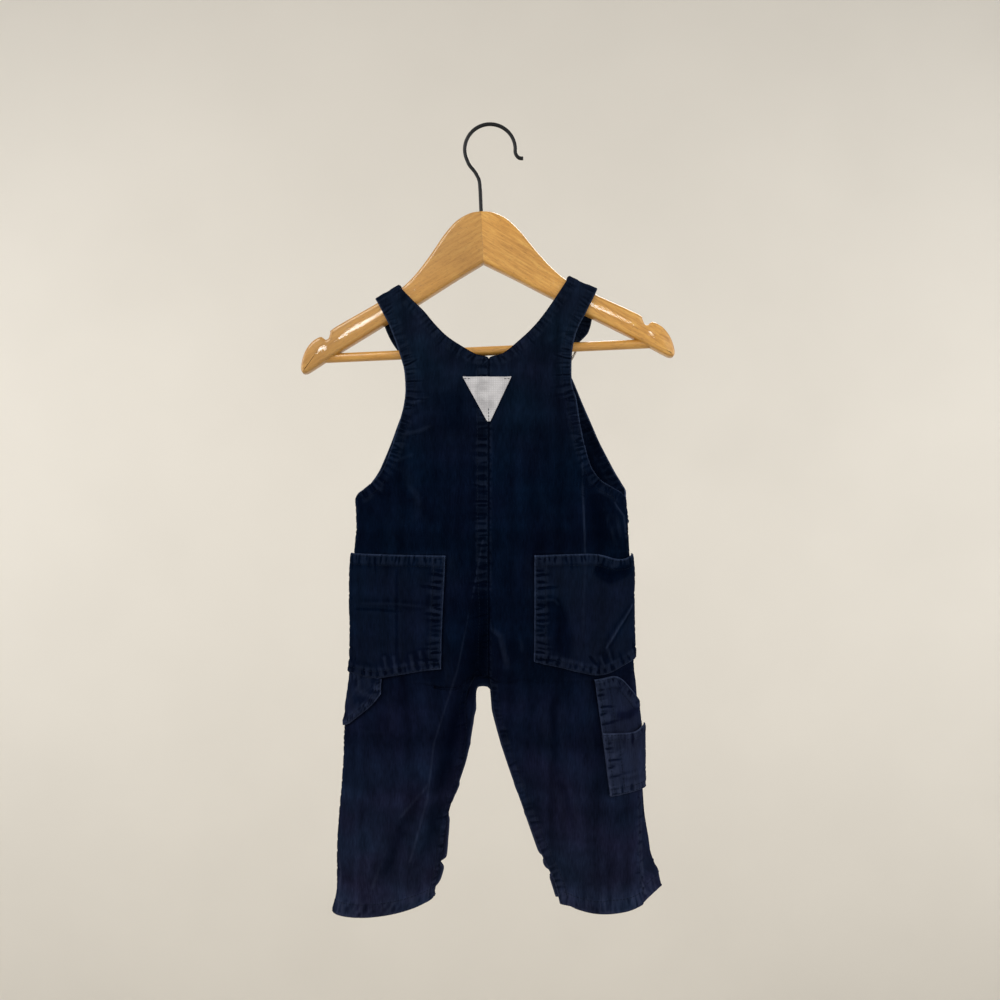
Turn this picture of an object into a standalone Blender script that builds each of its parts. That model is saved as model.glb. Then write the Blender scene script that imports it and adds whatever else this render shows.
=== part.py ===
"""Toddler's bib overalls, hung flat on a notched wooden child's hanger.

Frame, in metres: +X to the right of the garment's back, +Y out of its bib side, +Z up.
The origin is the inside top of the hanger's wire hook, where a peg carries it.
Lengths in the tables and constants are millimetres; MM turns them to metres.

The cloth hangs nearly flat. Each half of the back and of the front is a panel: a table of
rows from top to hem, each row a curve from an inner edge (neck, centre seam or inseam) to
an outer edge (strap, armhole or side seam). What is sewn on a panel is made from its points.
"""
import math
from collections import namedtuple

import bmesh
import bpy
from mathutils import Matrix, Vector

MM = 0.001
NAME = "bib_overalls"

CLOTH = 1.5             # wall of the garment
SEAM = 0.2              # half of the gap between two panels at a seam
LAY = 0.55              # gap between a panel and what lies on it
LABEL_WALL = 1.0
BACK_COLUMNS = 16
FRONT_COLUMNS = 10
ROW_APART = 15.0        # rows further apart than this get one between them
ARC_STEPS = 6           # rows of a strap over the hanger's arm
STRAP_Y = 8.0           # strap's outer face from the hanger's middle plane
ARM_CLEARANCE = 6.0     # rise of the strap over its edge rows, across the arm
BODY_ROUND = (2.4, 0.6)     # exponents of the torso's quarter section
LEG_ROUND = (1.7, 0.6)      # exponents of a leg's half section, in the seat and down the leg
SPREAD = 1.3                # crowds a torso row's columns towards the side seam
LEG_SPREAD = 0.6            # share of a leg row's columns that follows the half circle
FLARE_AT = 0.08             # how far in from the seam a rolled-out side stands proudest
EDGE_FADE = 0.12            # folds die out this near a sewn edge
SIDE_FROM = 0.9             # columns past this face sideways, not backwards
LEG_PARTS = 0.15            # share of the leg's shape at which the two halves part

# ---------------------------------------------------------------- cut of the garment

# Rows above the underarm, for one half of the back. y is the depth behind the hanger's plane.
Yoke = namedtuple("Yoke", "inner_x inner_z outer_x outer_z inner_y outer_y")
YOKE_LEFT = (
    Yoke(-69.5, -133.9, -88.8, -145.6, 8.0, 8.0),
    Yoke(-60.5, -143.3, -84.4, -154.0, 8.1, 8.1),
    Yoke(-51.9, -151.7, -80.5, -161.5, 8.3, 8.3),
    Yoke(-43.1, -162.2, -76.2, -172.3, 8.8, 8.6),
    Yoke(-33.4, -171.9, -72.4, -183.0, 9.4, 9.0),
    Yoke(-21.8, -179.8, -69.6, -191.5, 10.0, 9.6),
    Yoke(-10.5, -186.2, -67.8, -198.5, 10.6, 10.0),
    Yoke(-0.2, -190.0, -66.9, -206.0, 11.2, 10.5),
    Yoke(-0.2, -206.0, -66.5, -214.5, 12.6, 11.0),
    Yoke(-0.2, -223.0, -67.3, -225.0, 13.8, 11.7),
    Yoke(-0.2, -241.0, -71.0, -241.0, 15.2, 12.6),
    Yoke(-0.2, -255.0, -75.3, -254.6, 16.2, 13.2),
    Yoke(-0.2, -268.0, -79.9, -268.0, 17.0, 13.4),
    Yoke(-0.2, -279.0, -84.6, -278.6, 17.6, 12.8),
    Yoke(-0.2, -289.0, -91.2, -287.2, 18.1, 11.2),
    Yoke(-0.2, -297.0, -99.3, -293.6, 18.6, 7.8),
)
YOKE_RIGHT = (
    Yoke(62.0, -127.2, 85.2, -137.8, 8.0, 8.0),
    Yoke(55.2, -137.8, 80.2, -147.8, 8.1, 8.1),
    Yoke(49.0, -147.0, 76.2, -156.0, 8.3, 8.3),
    Yoke(42.0, -156.6, 71.8, -164.4, 8.8, 8.6),
    Yoke(33.8, -166.2, 68.6, -174.0, 9.4, 9.0),
    Yoke(23.3, -176.0, 66.7, -184.0, 10.0, 9.6),
    Yoke(11.3, -185.6, 66.1, -193.0, 10.6, 10.0),
    Yoke(0.2, -190.0, 66.0, -201.0, 11.2, 10.5),
    Yoke(0.2, -206.0, 66.2, -209.0, 12.6, 11.0),
    Yoke(0.2, -223.0, 69.8, -223.0, 13.8, 11.7),
    Yoke(0.2, -241.0, 72.4, -241.0, 15.2, 12.6),
    Yoke(0.2, -255.0, 75.3, -255.0, 16.2, 13.2),
    Yoke(0.2, -268.0, 78.6, -268.0, 17.0, 13.4),
    Yoke(0.2, -279.0, 83.0, -279.0, 17.6, 12.8),
    Yoke(0.2, -289.0, 90.2, -287.6, 18.1, 11.2),
    Yoke(0.2, -297.0, 98.8, -293.0, 18.6, 7.8),
)

# The strap's run down the bib side, from its free end up to the arm.
STRAP_FRONT_LEFT = (
    Yoke(-54.8, -175.6, -73.2, -183.0, -9.9, -9.9),
    Yoke(-60.0, -164.8, -80.2, -173.0, -9.2, -9.2),
    Yoke(-65.2, -150.0, -86.0, -159.6, -8.4, -8.4),
)
STRAP_FRONT_RIGHT = (
    Yoke(53.0, -167.4, 73.6, -173.6, -9.9, -9.9),
    Yoke(56.4, -158.0, 81.6, -165.0, -9.2, -9.2),
    Yoke(59.4, -146.0, 84.4, -153.4, -8.4, -8.4),
)

# Rows of the bib, above the underarm. y is the depth in front of the hanger's plane.
Bib = namedtuple("Bib", "centre_z left_x left_z right_x right_z centre_y side_y")
BIB = (
    Bib(-193.0, -56.5, -188.5, 61.0, -188.5, 12.0, 10.0),
    Bib(-205.0, -62.0, -204.0, 68.9, -204.0, 13.0, 11.8),
    Bib(-223.0, -68.8, -223.0, 77.0, -223.0, 14.2, 13.4),
    Bib(-241.0, -75.8, -241.0, 85.0, -241.0, 15.0, 14.4),
    Bib(-255.0, -81.0, -255.0, 91.2, -255.0, 15.6, 15.2),
    Bib(-268.0, -86.4, -268.0, 98.0, -268.0, 16.0, 15.8),
    Bib(-279.0, -91.4, -279.0, 103.8, -279.0, 16.4, 15.8),
    Bib(-289.0, -97.2, -288.0, 109.0, -288.0, 16.7, 14.6),
    Bib(-297.0, -103.6, -296.0, 112.6, -296.0, 16.9, 10.0),
)

# Rows from the underarm to the hem, for one half. Back and front share the side seam; the
# inner edge is the centre seam and, below the crotch, the inseam. swell is the leg's own
# depth, leg its share in a row's shape, flare how far the front rolls out past the seam.
Level = namedtuple(
    "Level",
    "seam_x seam_z seam_y inner_z back_x front_x back_y front_y back_swell front_swell leg flare",
)
LEVELS_LEFT = (
    Level(-108.2, -302.5, 0, -305, -0.2, -0.2, 19.2, 17.2, 0, 0, 0, 0),
    Level(-107.2, -322.0, 0, -323, -0.2, -0.2, 21.0, 18.2, 0, 0, 0, 0),
    Level(-109.2, -345.5, 0, -346, -0.2, -0.2, 23.0, 19.0, 0, 0, 0, 0),
    Level(-111.0, -362.0, 0, -362, -0.2, -0.2, 24.0, 19.6, 0, 0, 0, 0),
    Level(-111.3, -385.0, 0, -385, -0.2, -0.2, 24.4, 19.8, 0, 0, 0, 0),
    Level(-110.8, -408.0, 0, -408, -0.2, -0.2, 22.6, 18.8, 1.0, 1.0, 0, 0),
    Level(-111.2, -430.0, 0, -428, -0.2, -0.2, 17.4, 16.6, 5.0, 3.0, 0, 0),
    Level(-112.4, -444.5, 0, -445.6, -0.2, -0.2, 9.0, 13.0, 11.5, 6.0, 0.05, 0),
    Level(-112.8, -448.5, 0, -449.0, -11.6, -1.6, 6.0, 11.0, 13.5, 7.5, 0.15, 0),
    Level(-113.6, -458.0, 0, -457, -15.0, -9.6, 4.8, 5.0, 15.0, 10.5, 0.4, 0),
    Level(-115.2, -472.0, 0, -472, -17.0, -11.6, 3.0, 2.6, 17.0, 13.0, 0.75, 0),
    Level(-117.2, -490.0, 0, -490, -18.0, -14.0, 1.7, 1.7, 19.0, 14.5, 1, 0),
    Level(-117.8, -512.0, 0, -511, -20.5, -18.0, 1.7, 1.7, 19.0, 15.0, 1, 0),
    Level(-119.4, -535.0, 0, -533, -26.0, -25.0, 1.7, 1.7, 18.5, 15.0, 1, 0),
    Level(-121.3, -558.0, 0, -555, -32.6, -31.4, 1.7, 1.7, 18.0, 15.0, 1, 1),
    Level(-122.6, -578.0, 0, -574, -35.8, -33.0, 1.7, 1.7, 17.5, 14.5, 1, 1.5),
    Level(-123.0, -597.0, 0, -592, -38.2, -34.6, 1.7, 1.7, 17.0, 14.5, 1, 2),
    Level(-123.0, -614.0, 0, -607, -41.8, -38.4, 1.7, 1.7, 16.5, 14.0, 1, 3),
    Level(-127.0, -635.6, 0, -624, -45.4, -43.0, 1.7, 1.7, 16.0, 13.5, 1, 1),
)
LEVELS_RIGHT = (
    Level(110.5, -302.5, -4, -305, 0.2, 0.2, 19.2, 17.2, 0, 0, 0, 2),
    Level(111.2, -322.0, -7, -323, 0.2, 0.2, 21.0, 18.2, 0, 0, 0, 4.5),
    Level(113.0, -345.5, -5, -346, 0.2, 0.2, 23.0, 19.0, 0, 0, 0, 4),
    Level(115.6, -362.0, -2, -362, 0.2, 0.2, 24.0, 19.6, 0, 0, 0, 1),
    Level(116.0, -385.0, 0, -385, 0.2, 0.2, 24.4, 19.8, 0, 0, 0, 0),
    Level(116.6, -408.0, 0, -408, 0.2, 0.2, 22.6, 18.8, 1.0, 1.0, 0, 0),
    Level(117.4, -430.0, 0, -428, 0.2, 0.2, 17.4, 16.6, 5.0, 3.0, 0, 0),
    Level(118.4, -444.5, -1, -445.6, 0.2, 0.2, 9.0, 13.0, 11.5, 6.0, 0.05, 0.5),
    Level(118.8, -448.5, -2, -449.0, 0.5, 0.5, 6.0, 11.0, 13.5, 7.5, 0.15, 0.8),
    Level(119.4, -458.0, -3, -457, 2.0, 1.4, 4.8, 5.0, 15.0, 10.5, 0.4, 1.2),
    Level(120.4, -472.0, -4, -472, 3.4, 2.8, 3.0, 2.6, 17.0, 13.0, 0.75, 2),
    Level(121.6, -490.0, -6, -490, 7.6, 7.0, 1.7, 1.7, 19.0, 14.5, 1, 3.5),
    Level(121.6, -512.0, -8, -511, 14.0, 13.4, 1.7, 1.7, 19.0, 15.0, 1, 5.5),
    Level(120.8, -535.0, -9, -533, 21.6, 21.0, 1.7, 1.7, 18.5, 15.0, 1, 9),
    Level(119.6, -558.0, -10, -555, 29.6, 28.8, 1.7, 1.7, 18.0, 15.0, 1, 12),
    Level(119.6, -578.0, -11, -574, 37.0, 35.4, 1.7, 1.7, 17.5, 14.5, 1, 15),
    Level(120.6, -597.0, -11, -592, 45.0, 42.0, 1.7, 1.7, 17.0, 14.5, 1, 17),
    Level(122.0, -611.0, -11, -608, 52.4, 49.0, 1.7, 1.7, 16.5, 14.0, 1, 20),
    Level(123.6, -624.0, -11, -624.6, 56.6, 54.4, 1.7, 1.7, 16.0, 13.5, 1, 21),
)
HEM_SAG = {"left": 2.0, "right": 5.0}   # how far the middle of a hem hangs below its ends
WAIST_LEVEL = 1                         # the level where the bib meets the trouser fronts

# Folds: a line through three points; height outwards, and how far each side of it reaches.
# beside is the side at lower x, beyond the side at higher x.
Fold = namedtuple("Fold", "x1 z1 x2 z2 x3 z3 height beside beyond")
BACK_FOLDS = (
    Fold(0, -322, -18, -400, -42, -500, 5.5, 17, 8),
    Fold(-41, -492, -50, -548, -63, -594, 4.5, 10, 7),
    Fold(6, -372, -8, -440, -28, -508, -5.0, 8, 12),
    Fold(-31, -510, -38, -552, -47, -596, -3.5, 7, 7),
    Fold(-45, -514, -70, -553, -98, -616, 5.0, 22, 8),
    Fold(-54, -534, -68, -565, -86, -610, -4.0, 7, 9),
    Fold(71, -250, 74, -310, 73, -440, 3.0, 9, 8),
    Fold(86, -298, 88, -320, 88, -346, -3.5, 8, 9),
    Fold(97, -304, 104, -324, 109, -346, 3.0, 7, 7),
    Fold(54, -430, 57, -500, 64, -580, -3.5, 7, 7),
    Fold(72, -446, 78, -520, 84, -606, 4.0, 9, 14),
    Fold(117, -384, 103, -402, 91, -426, 3.5, 7, 8),
    Fold(-86, -266, -72, -288, -56, -312, 3.0, 8, 8),
    Fold(-60, -302, -57, -324, -53, -346, -3.0, 7, 7),
    Fold(-99, -300, -101, -314, -100, -334, -2.5, 7, 7),
    Fold(8, -398, 15, -430, 9, -464, 3.0, 7, 7),
    Fold(25, -402, 28, -436, 23, -476, -3.0, 7, 7),
    Fold(95, -584, 97, -606, 100, -630, -2.5, 7, 7),
)
FRONT_FOLDS = (
    Fold(-4, -340, -24, -420, -52, -520, 4.0, 12, 7),
    Fold(8, -352, 0, -400, -8, -452, -4.0, 8, 10),
    Fold(-60, -500, -74, -556, -88, -616, 4.0, 12, 8),
    Fold(62, -380, 70, -470, 78, -600, 4.5, 12, 9),
    Fold(44, -440, 50, -510, 62, -590, -4.0, 8, 8),
    Fold(96, -440, 102, -500, 106, -580, -3.0, 8, 8),
    Fold(-42, -236, -52, -270, -62, -318, 3.0, 10, 7),
    Fold(38, -236, 50, -270, 60, -320, 3.0, 7, 10),
    Fold(2, -236, -4, -280, 4, -326, -2.5, 9, 9),
)

# Patches: the inner edge's x at top and bottom, then the outline as shares of the way to the
# seam. mouth is how far the top edge stands away, lap the layers that it lies on.
PATCH_STEP = 0.03       # least step from a patch's inner edge to its next column
Patch = namedtuple("Patch", "side top_x bottom_x top bottom rows mouth lap puff")
Edge = namedtuple("Edge", "share z")
PATCHES = {
    "hip_pocket_left": Patch(
        "left", -33.4, -37.4,
        (Edge(0, -346.4), Edge(1, -345.6)),
        (Edge(0, -434.0), Edge(0.62, -445.4), Edge(1, -441.6)), 8, 1.2, 0, 0.8),
    "hip_pocket_right": Patch(
        "right", 35.6, 35.6,
        (Edge(0, -346.2), Edge(0.55, -344.6), Edge(0.78, -351.5), Edge(1, -345.6)),
        (Edge(0, -429.6), Edge(0.56, -443.6), Edge(0.78, -435.4), Edge(1, -430.2)), 8, 2.6, 0, 1.4),
    "hammer_loop": Patch(
        "left", -84.4, -84.4,
        (Edge(0, -447.2), Edge(1, -443.2)),
        (Edge(0, -456.0), Edge(0.12, -463.0), Edge(0.38, -472.5), Edge(0.72, -482.5), Edge(1, -485.0)),
        6, 0, 0, 1.8),
    "tool_pocket": Patch(
        "right", 82.9, 94.6,
        (Edge(0, -444.6), Edge(0.45, -442.2), Edge(1, -464.0)),
        (Edge(0, -534.4), Edge(1, -531.0)), 10, 0, 0, 0.6),
    "tool_pocket_pouch": Patch(
        "right", 88.4, 94.6,
        (Edge(0, -485.4), Edge(0.6, -486.6), Edge(1, -481.6)),
        (Edge(0, -534.4), Edge(1, -531.0)), 6, 2.2, 1, 0.9),
}

LABEL_TOP = -205.2
LABEL_BOTTOM = -241.0
LABEL_TOP_X = -1.4      # middle of its top edge
LABEL_HALF = 19.4
LABEL_TIP_HALF = 1.2
LABEL_COLUMNS = 6
LABEL_ROWS = 6

# The snap placket: a strip that lies between back and front, round the crotch.
Arch = namedtuple("Arch", "edge_x edge_z inside_x inside_z")
PLACKET_ARCH = (
    Arch(-10.4, -456.0, -14.6, -449.6),
    Arch(-8.2, -454.0, -12.0, -443.6),
    Arch(-4.6, -453.6, -5.0, -441.6),
    Arch(-1.4, -454.0, 1.4, -442.4),
    Arch(0.8, -456.0, 6.4, -449.6),
)
PLACKET_FROM = 10       # the level under the arch
PLACKET_WIDTH = 11.0
PLACKET_SHOWS = 0.4     # past the front's inseam
PLACKET_HEM = 3.0       # its end's height over the leg's hem

# ---------------------------------------------------------------- fastenings

SNAP_RADIUS = 5.0
SNAP_HEIGHT = 1.6
SNAP_IN = 9.5           # snap's centre from the front's inseam edge
SNAP_LAY = 0.9          # its middle off the rounded cloth, so that its rim clears
SNAP_LEVELS = (-484, -510, -536, -563, -590, -614)
BUTTON_DROP = -201.0
BUTTON_X = {"left": -53.0, "right": 53.5}
BUTTON_CAP_RADIUS = 8.0
BUTTON_SHANK_RADIUS = 3.0
BUTTON_CAP_THICKNESS = 2.4
BUCKLE_WIRE = 1.0       # radius
BUCKLE_Y = 14.6         # middle plane of the buckle's wire
RING_RADIUS = 5.6
RING_OPEN = (140, 400)  # degrees of the ring, from its left end round the bottom
Bend = namedtuple("Bend", "x z")
BUCKLE_SIDE = (
    Bend(6.4, 10.0), Bend(10.6, 18.0), Bend(12.5, 25.0), Bend(12.5, 29.0), Bend(11.0, 31.0),
)
BUCKLE_LEAN = {"left": math.radians(20), "right": math.radians(-14)}

# ---------------------------------------------------------------- hanger, in its own frame

HANGER_TILT = math.radians(2.6)
HANGER_X = -9.5         # its middle from the peg
BOARD = 12.0
BOARD_EDGE = 2.4
MITRE = 0.15
Outline = namedtuple("Outline", "x z")
ARM_TOP = (
    Outline(0, -69.8), Outline(9, -71.0), Outline(20, -76.6), Outline(30, -86.6), Outline(38, -97.2),
    Outline(46, -107.6), Outline(54, -117.0), Outline(64, -126.6), Outline(76, -134.2),
    Outline(90, -141.6), Outline(122.6, -158.4),
)
ARM_NOTCH = (
    Outline(125.8, -162.0), Outline(127.4, -166.6), Outline(130.2, -167.4), Outline(133.4, -165.0),
)
ARM_END = (
    Outline(139.6, -167.8), Outline(144.8, -173.0), Outline(148.8, -180.6), Outline(150.8, -189.0),
    Outline(150.0, -192.8), Outline(146.8, -193.8),
)
ARM_UNDER = (
    Outline(133.4, -186.2), Outline(121, -179.0), Outline(84.6, -158.8), Outline(51.5, -140.4),
    Outline(24, -124.6), Outline(0, -111.5),
)
BAR_RADIUS = 3.75
BAR_Z = -182.0
BAR_HALF = 135.5
BORE_DEPTH = 137.5
WIRE_RADIUS = 1.5
LOOP_RADIUS = 20.5
LOOP_X = 9.5
SHAFT_BOTTOM = -84.0
HOOK_NECK = (
    Outline(0, SHAFT_BOTTOM), Outline(0, -66), Outline(0, -50), Outline(-0.6, -43),
    Outline(-3.6, -36.6), Outline(-7.6, -31.2),
)
HOOK_ROUND = (202, -8)  # degrees of the loop, over the top
HOOK_TIP = (Outline(30.6, -24.6), Outline(32.8, -27.0), Outline(36.0, -27.4))

COLOURS = {
    "navy_cotton": (0.010, 0.014, 0.034, 1), "label_weave": (0.78, 0.77, 0.76, 1),
    "buckle_metal": (0.62, 0.62, 0.60, 1), "hanger_wood": (0.60, 0.36, 0.12, 1),
    "hanger_wire": (0.55, 0.55, 0.55, 1),
}
METALS = ("buckle_metal", "hanger_wire")


# ---------------------------------------------------------------- small maths

def mix(a, b, t):
    return a + (b - a) * t


def hermite(before, start, end, after, t):
    """A curve from start to end that never overshoots them."""
    def slope(p, q):
        return 0.0 if p * q <= 0 else 2 * p * q / (p + q)
    rise = end - start
    m0 = slope(start - before, rise)
    m1 = slope(rise, after - end)
    return (start * (1 + 2 * t) + m0 * t) * (1 - t) ** 2 + (end * (3 - 2 * t) - m1 * (1 - t)) * t * t


def along(points, share):
    """The z of an outline at a share of the way across."""
    for a, b in zip(points, points[1:]):
        if share <= b.share:
            return mix(a.z, b.z, (share - a.share) / (b.share - a.share))
    return points[-1].z


def solve(function, target, low, high):
    """Where a function that falls or rises evenly meets a target."""
    rising = function(high) > function(low)
    for _ in range(36):
        middle = (low + high) / 2
        if (function(middle) < target) == rising:
            low = middle
        else:
            high = middle
    return (low + high) / 2


def fold_height(folds, x, z):
    """The sum of the folds at a place, outwards."""
    total = 0.0
    for f in folds:
        best = None
        for part, (ax, az, bx, bz) in enumerate(((f.x1, f.z1, f.x2, f.z2), (f.x2, f.z2, f.x3, f.z3))):
            dx, dz = bx - ax, bz - az
            t = max(0.0, min(1.0, ((x - ax) * dx + (z - az) * dz) / (dx * dx + dz * dz)))
            offset_x, offset_z = x - ax - dx * t, z - az - dz * t
            distance = math.hypot(offset_x, offset_z)
            if best is None or distance < best[0]:
                best = (distance, offset_x, (part + t) / 2)
        distance, offset_x, t = best
        reach = f.beside if offset_x < 0 else f.beyond
        total += f.height * (1 - (2 * t - 1) ** 4) * math.exp(-((distance / reach) ** 2))
    return total


# ---------------------------------------------------------------- panels

Row = namedtuple("Row", "inner_x inner_z inner_y outer_x outer_z outer_y swell leg flare sag seam")


class Panel:
    """Half of the back (facing -1) or of the front (facing 1)."""

    top = 0     # the first row that level() and find() look at

    def __init__(self, rows, facing, side, folds, columns):
        self.rows = rows
        self.facing = facing
        self.sign = -1 if side == "left" else 1
        self.folds = folds
        self.columns = columns

    def row(self, v):
        """The row at v, which counts the table's rows from the top."""
        last = len(self.rows) - 1
        i = min(int(v), last - 1)
        four = [self.rows[max(0, min(last, i + k))] for k in (-1, 0, 1, 2)]
        return Row(*(hermite(a, b, c, d, v - i) for a, b, c, d in zip(*four)))

    def share(self, row, u):
        torso = 1 - (1 - u) ** SPREAD
        leg = mix(u, (1 - math.cos(math.pi * u)) / 2, LEG_SPREAD)
        return mix(torso, leg, row.leg)

    def flat(self, v, u):
        """The row's place before folds."""
        row = self.row(v)
        s = self.share(row, u)
        crown = 4 * s * (1 - s)
        near = (1 - s) / FLARE_AT
        x = mix(row.inner_x, row.outer_x, s) + self.sign * row.flare * near * math.exp(1 - near)
        z = mix(row.inner_z, row.outer_z, s) - row.sag * crown
        power, root = BODY_ROUND
        rounding = max(0.0, 1 - s ** power) ** root
        crowning = max(0.0, crown) ** mix(*LEG_ROUND, math.sqrt(max(0.0, row.leg)))
        y = mix(row.outer_y, row.inner_y, rounding) + self.facing * row.swell * crowning
        return Vector((x, y, z))

    def out(self, v, u):
        """The direction out of the cloth. It has no sideways share at the centre seam."""
        step_u, step_v = 1e-4, 0.05
        last = len(self.rows) - 1
        across = self.flat(v, min(1, u + step_u)) - self.flat(v, max(0, u - step_u))
        down = self.flat(min(last, v + step_v), u) - self.flat(max(0, v - step_v), u)
        normal = across.cross(down)
        middle = self.flat(v, 0.5)
        away = self.flat(v, u) - Vector((middle.x, 0, middle.z))
        towards = Vector((0, self.facing, 0)) if u < SIDE_FROM else away
        if normal.dot(towards) < 0:
            normal.negate()
        row = self.row(v)
        normal.x *= mix(min(1, u / EDGE_FADE), 1, min(1, row.leg / LEG_PARTS))
        return normal.normalized()

    def point(self, v, u, lift=0.0):
        """A place on the cloth's outer face, or lifted off it."""
        place = self.flat(v, u)
        row = self.row(v)
        s = self.share(row, u)
        fade = min(1, (1 - s) / EDGE_FADE) * mix(1, min(1, s / EDGE_FADE), row.leg)
        place += self.out(v, u) * (lift + fade * fold_height(self.folds, place.x, place.z))
        if row.seam == 1:
            place.y = self.facing * max(self.facing * place.y, self.facing * row.outer_y)
        return place

    def level(self, u, z):
        """The v where the column u is at height z."""
        return solve(lambda v: self.flat(v, u).z, z, self.top, len(self.rows) - 1)

    def find(self, x, z):
        """The v and u of a place given by x and z."""
        def reach(v):
            row = self.row(v)
            return max(0.0, min(1.0, (x - row.inner_x) / (row.outer_x - row.inner_x)))

        def height(v):
            row = self.row(v)
            s = reach(v)
            return mix(row.inner_z, row.outer_z, s) - row.sag * 4 * s * (1 - s)
        v = solve(height, z, self.top, len(self.rows) - 1)
        row = self.row(v)
        return v, solve(lambda u: self.share(row, u), reach(v), 0, 1)


def level_rows(levels, facing, side):
    rows = []
    for number, level in enumerate(levels):
        back = facing < 0
        rows.append(Row(
            inner_x=level.back_x if back else level.front_x,
            inner_z=level.inner_z,
            inner_y=-level.back_y if back else level.front_y,
            outer_x=level.seam_x,
            outer_z=level.seam_z,
            outer_y=level.seam_y + facing * SEAM,
            swell=level.back_swell if back else level.front_swell,
            leg=level.leg,
            flare=0 if back else level.flare,
            sag=HEM_SAG[side] if number == len(levels) - 1 else 0,
            seam=1,
        ))
    return rows


def open_row(*ends):
    """A row above the underarm: straight across, its outer edge free."""
    return Row(*ends, swell=0, leg=0, flare=0, sag=0, seam=0)


def yoke_row(yoke):
    return open_row(yoke.inner_x, yoke.inner_z, -yoke.inner_y, yoke.outer_x, yoke.outer_z, -yoke.outer_y)


def strap_rows(front, edge):
    """The strap from its free end, up the bib side and over the hanger's arm."""
    rows = [yoke_row(y) for y in front]
    slope = Vector((edge.outer_x - edge.inner_x, edge.outer_z - edge.inner_z)).normalized()
    rise = Vector((-slope.y, slope.x)) if slope.x > 0 else Vector((slope.y, -slope.x))
    for step in range(ARC_STEPS):
        angle = math.pi * step / ARC_STEPS
        y = STRAP_Y * math.cos(angle)
        lift = rise * ARM_CLEARANCE * math.sin(angle)
        rows.append(open_row(
            edge.inner_x + lift.x, edge.inner_z + lift.y, y,
            edge.outer_x + lift.x, edge.outer_z + lift.y, y,
        ))
    return rows


def back_panel(side):
    yoke = YOKE_LEFT if side == "left" else YOKE_RIGHT
    front = STRAP_FRONT_LEFT if side == "left" else STRAP_FRONT_RIGHT
    levels = LEVELS_LEFT if side == "left" else LEVELS_RIGHT
    strap = strap_rows(front, yoke[0])
    rows = strap + [yoke_row(y) for y in yoke] + level_rows(levels, -1, side)
    panel = Panel(rows, -1, side, BACK_FOLDS, BACK_COLUMNS)
    panel.top = len(strap)
    return panel


def front_panel(side):
    levels = LEVELS_LEFT if side == "left" else LEVELS_RIGHT
    rows = []
    centre = -SEAM if side == "left" else SEAM
    for b in BIB:
        x, z = (b.left_x, b.left_z) if side == "left" else (b.right_x, b.right_z)
        rows.append(open_row(centre, b.centre_z, b.centre_y, x, z, b.side_y))
    return Panel(rows + level_rows(levels, 1, side), 1, side, FRONT_FOLDS, FRONT_COLUMNS)


# ---------------------------------------------------------------- building

def material(name):
    found = bpy.data.materials.get(name)
    if found:
        return found
    made = bpy.data.materials.new(name)
    made.use_nodes = True
    shader = made.node_tree.nodes["Principled BSDF"]
    shader.inputs["Base Color"].default_value = COLOURS[name]
    shader.inputs["Roughness"].default_value = 0.3 if name in METALS else 0.8
    shader.inputs["Metallic"].default_value = 1.0 if name in METALS else 0.0
    return made


def new_object(name, mesh, finish, smooth=True):
    made = bpy.data.objects.new(name, mesh)
    made.data.materials.clear()
    made.data.materials.append(material(finish))
    PARTS.objects.link(made)
    if smooth and made.type == "MESH":
        mesh.shade_smooth()
        mesh.set_sharp_from_angle(angle=math.radians(50))
    return made


def wall(name, columns, rows, face, finish="navy_cotton"):
    """A cloth wall: a grid given its thickness by extrusion. face(i, j, inside) gives each corner."""
    bm = bmesh.new()
    bmesh.ops.create_grid(bm, x_segments=columns, y_segments=rows, size=1)
    extruded = bmesh.ops.extrude_face_region(bm, geom=bm.faces[:])
    inside = {g for g in extruded["geom"] if isinstance(g, bmesh.types.BMVert)}
    for vert in bm.verts:
        i = round((vert.co.x + 1) / 2 * columns)
        j = round((vert.co.y + 1) / 2 * rows)
        vert.co = face(i, j, vert in inside) * MM
    bmesh.ops.recalc_face_normals(bm, faces=bm.faces[:])
    mesh = bpy.data.meshes.new(name)
    bm.to_mesh(mesh)
    bm.free()
    return new_object(name, mesh, finish)


def stops_of(panel, start):
    """The table rows from start on, with one halfway where two are far apart."""
    stops = []
    for v in range(start, len(panel.rows) - 1):
        stops.append(v)
        if panel.rows[v].inner_z - panel.rows[v + 1].inner_z > ROW_APART:
            stops.append(v + 0.5)
    return stops + [len(panel.rows) - 1]


def back_wall(side, panel):
    """Half of the back with its strap, from the strap's free end to the hem."""
    stops = stops_of(panel, 0)

    def face(i, j, inside):
        lift = -CLOTH if inside else 0.0
        return panel.point(stops[j], i / panel.columns, lift)
    wall("back_" + side, panel.columns, len(stops) - 1, face)


def bib_wall(left, right):
    """The bib, both halves in one piece, down to the waist seam."""
    last = len(BIB) + WAIST_LEVEL

    def face(i, j, inside):
        lift = -CLOTH if inside else 0.0
        panel = left if i < FRONT_COLUMNS else right
        place = panel.point(j, abs(i - FRONT_COLUMNS) / FRONT_COLUMNS, lift)
        if i == FRONT_COLUMNS:
            place.x = 0.0
        if j == last:
            place.z += SEAM
        return place
    wall("bib", 2 * FRONT_COLUMNS, last, face)


def front_wall(side, panel):
    """A trouser front, from the waist seam to the hem."""
    stops = stops_of(panel, len(BIB) + WAIST_LEVEL)

    def face(i, j, inside):
        lift = -CLOTH if inside else 0.0
        place = panel.point(stops[j], i / panel.columns, lift)
        if j == 0:
            place.z -= SEAM
        return place
    wall("front_" + side, panel.columns, len(stops) - 1, face)


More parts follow.
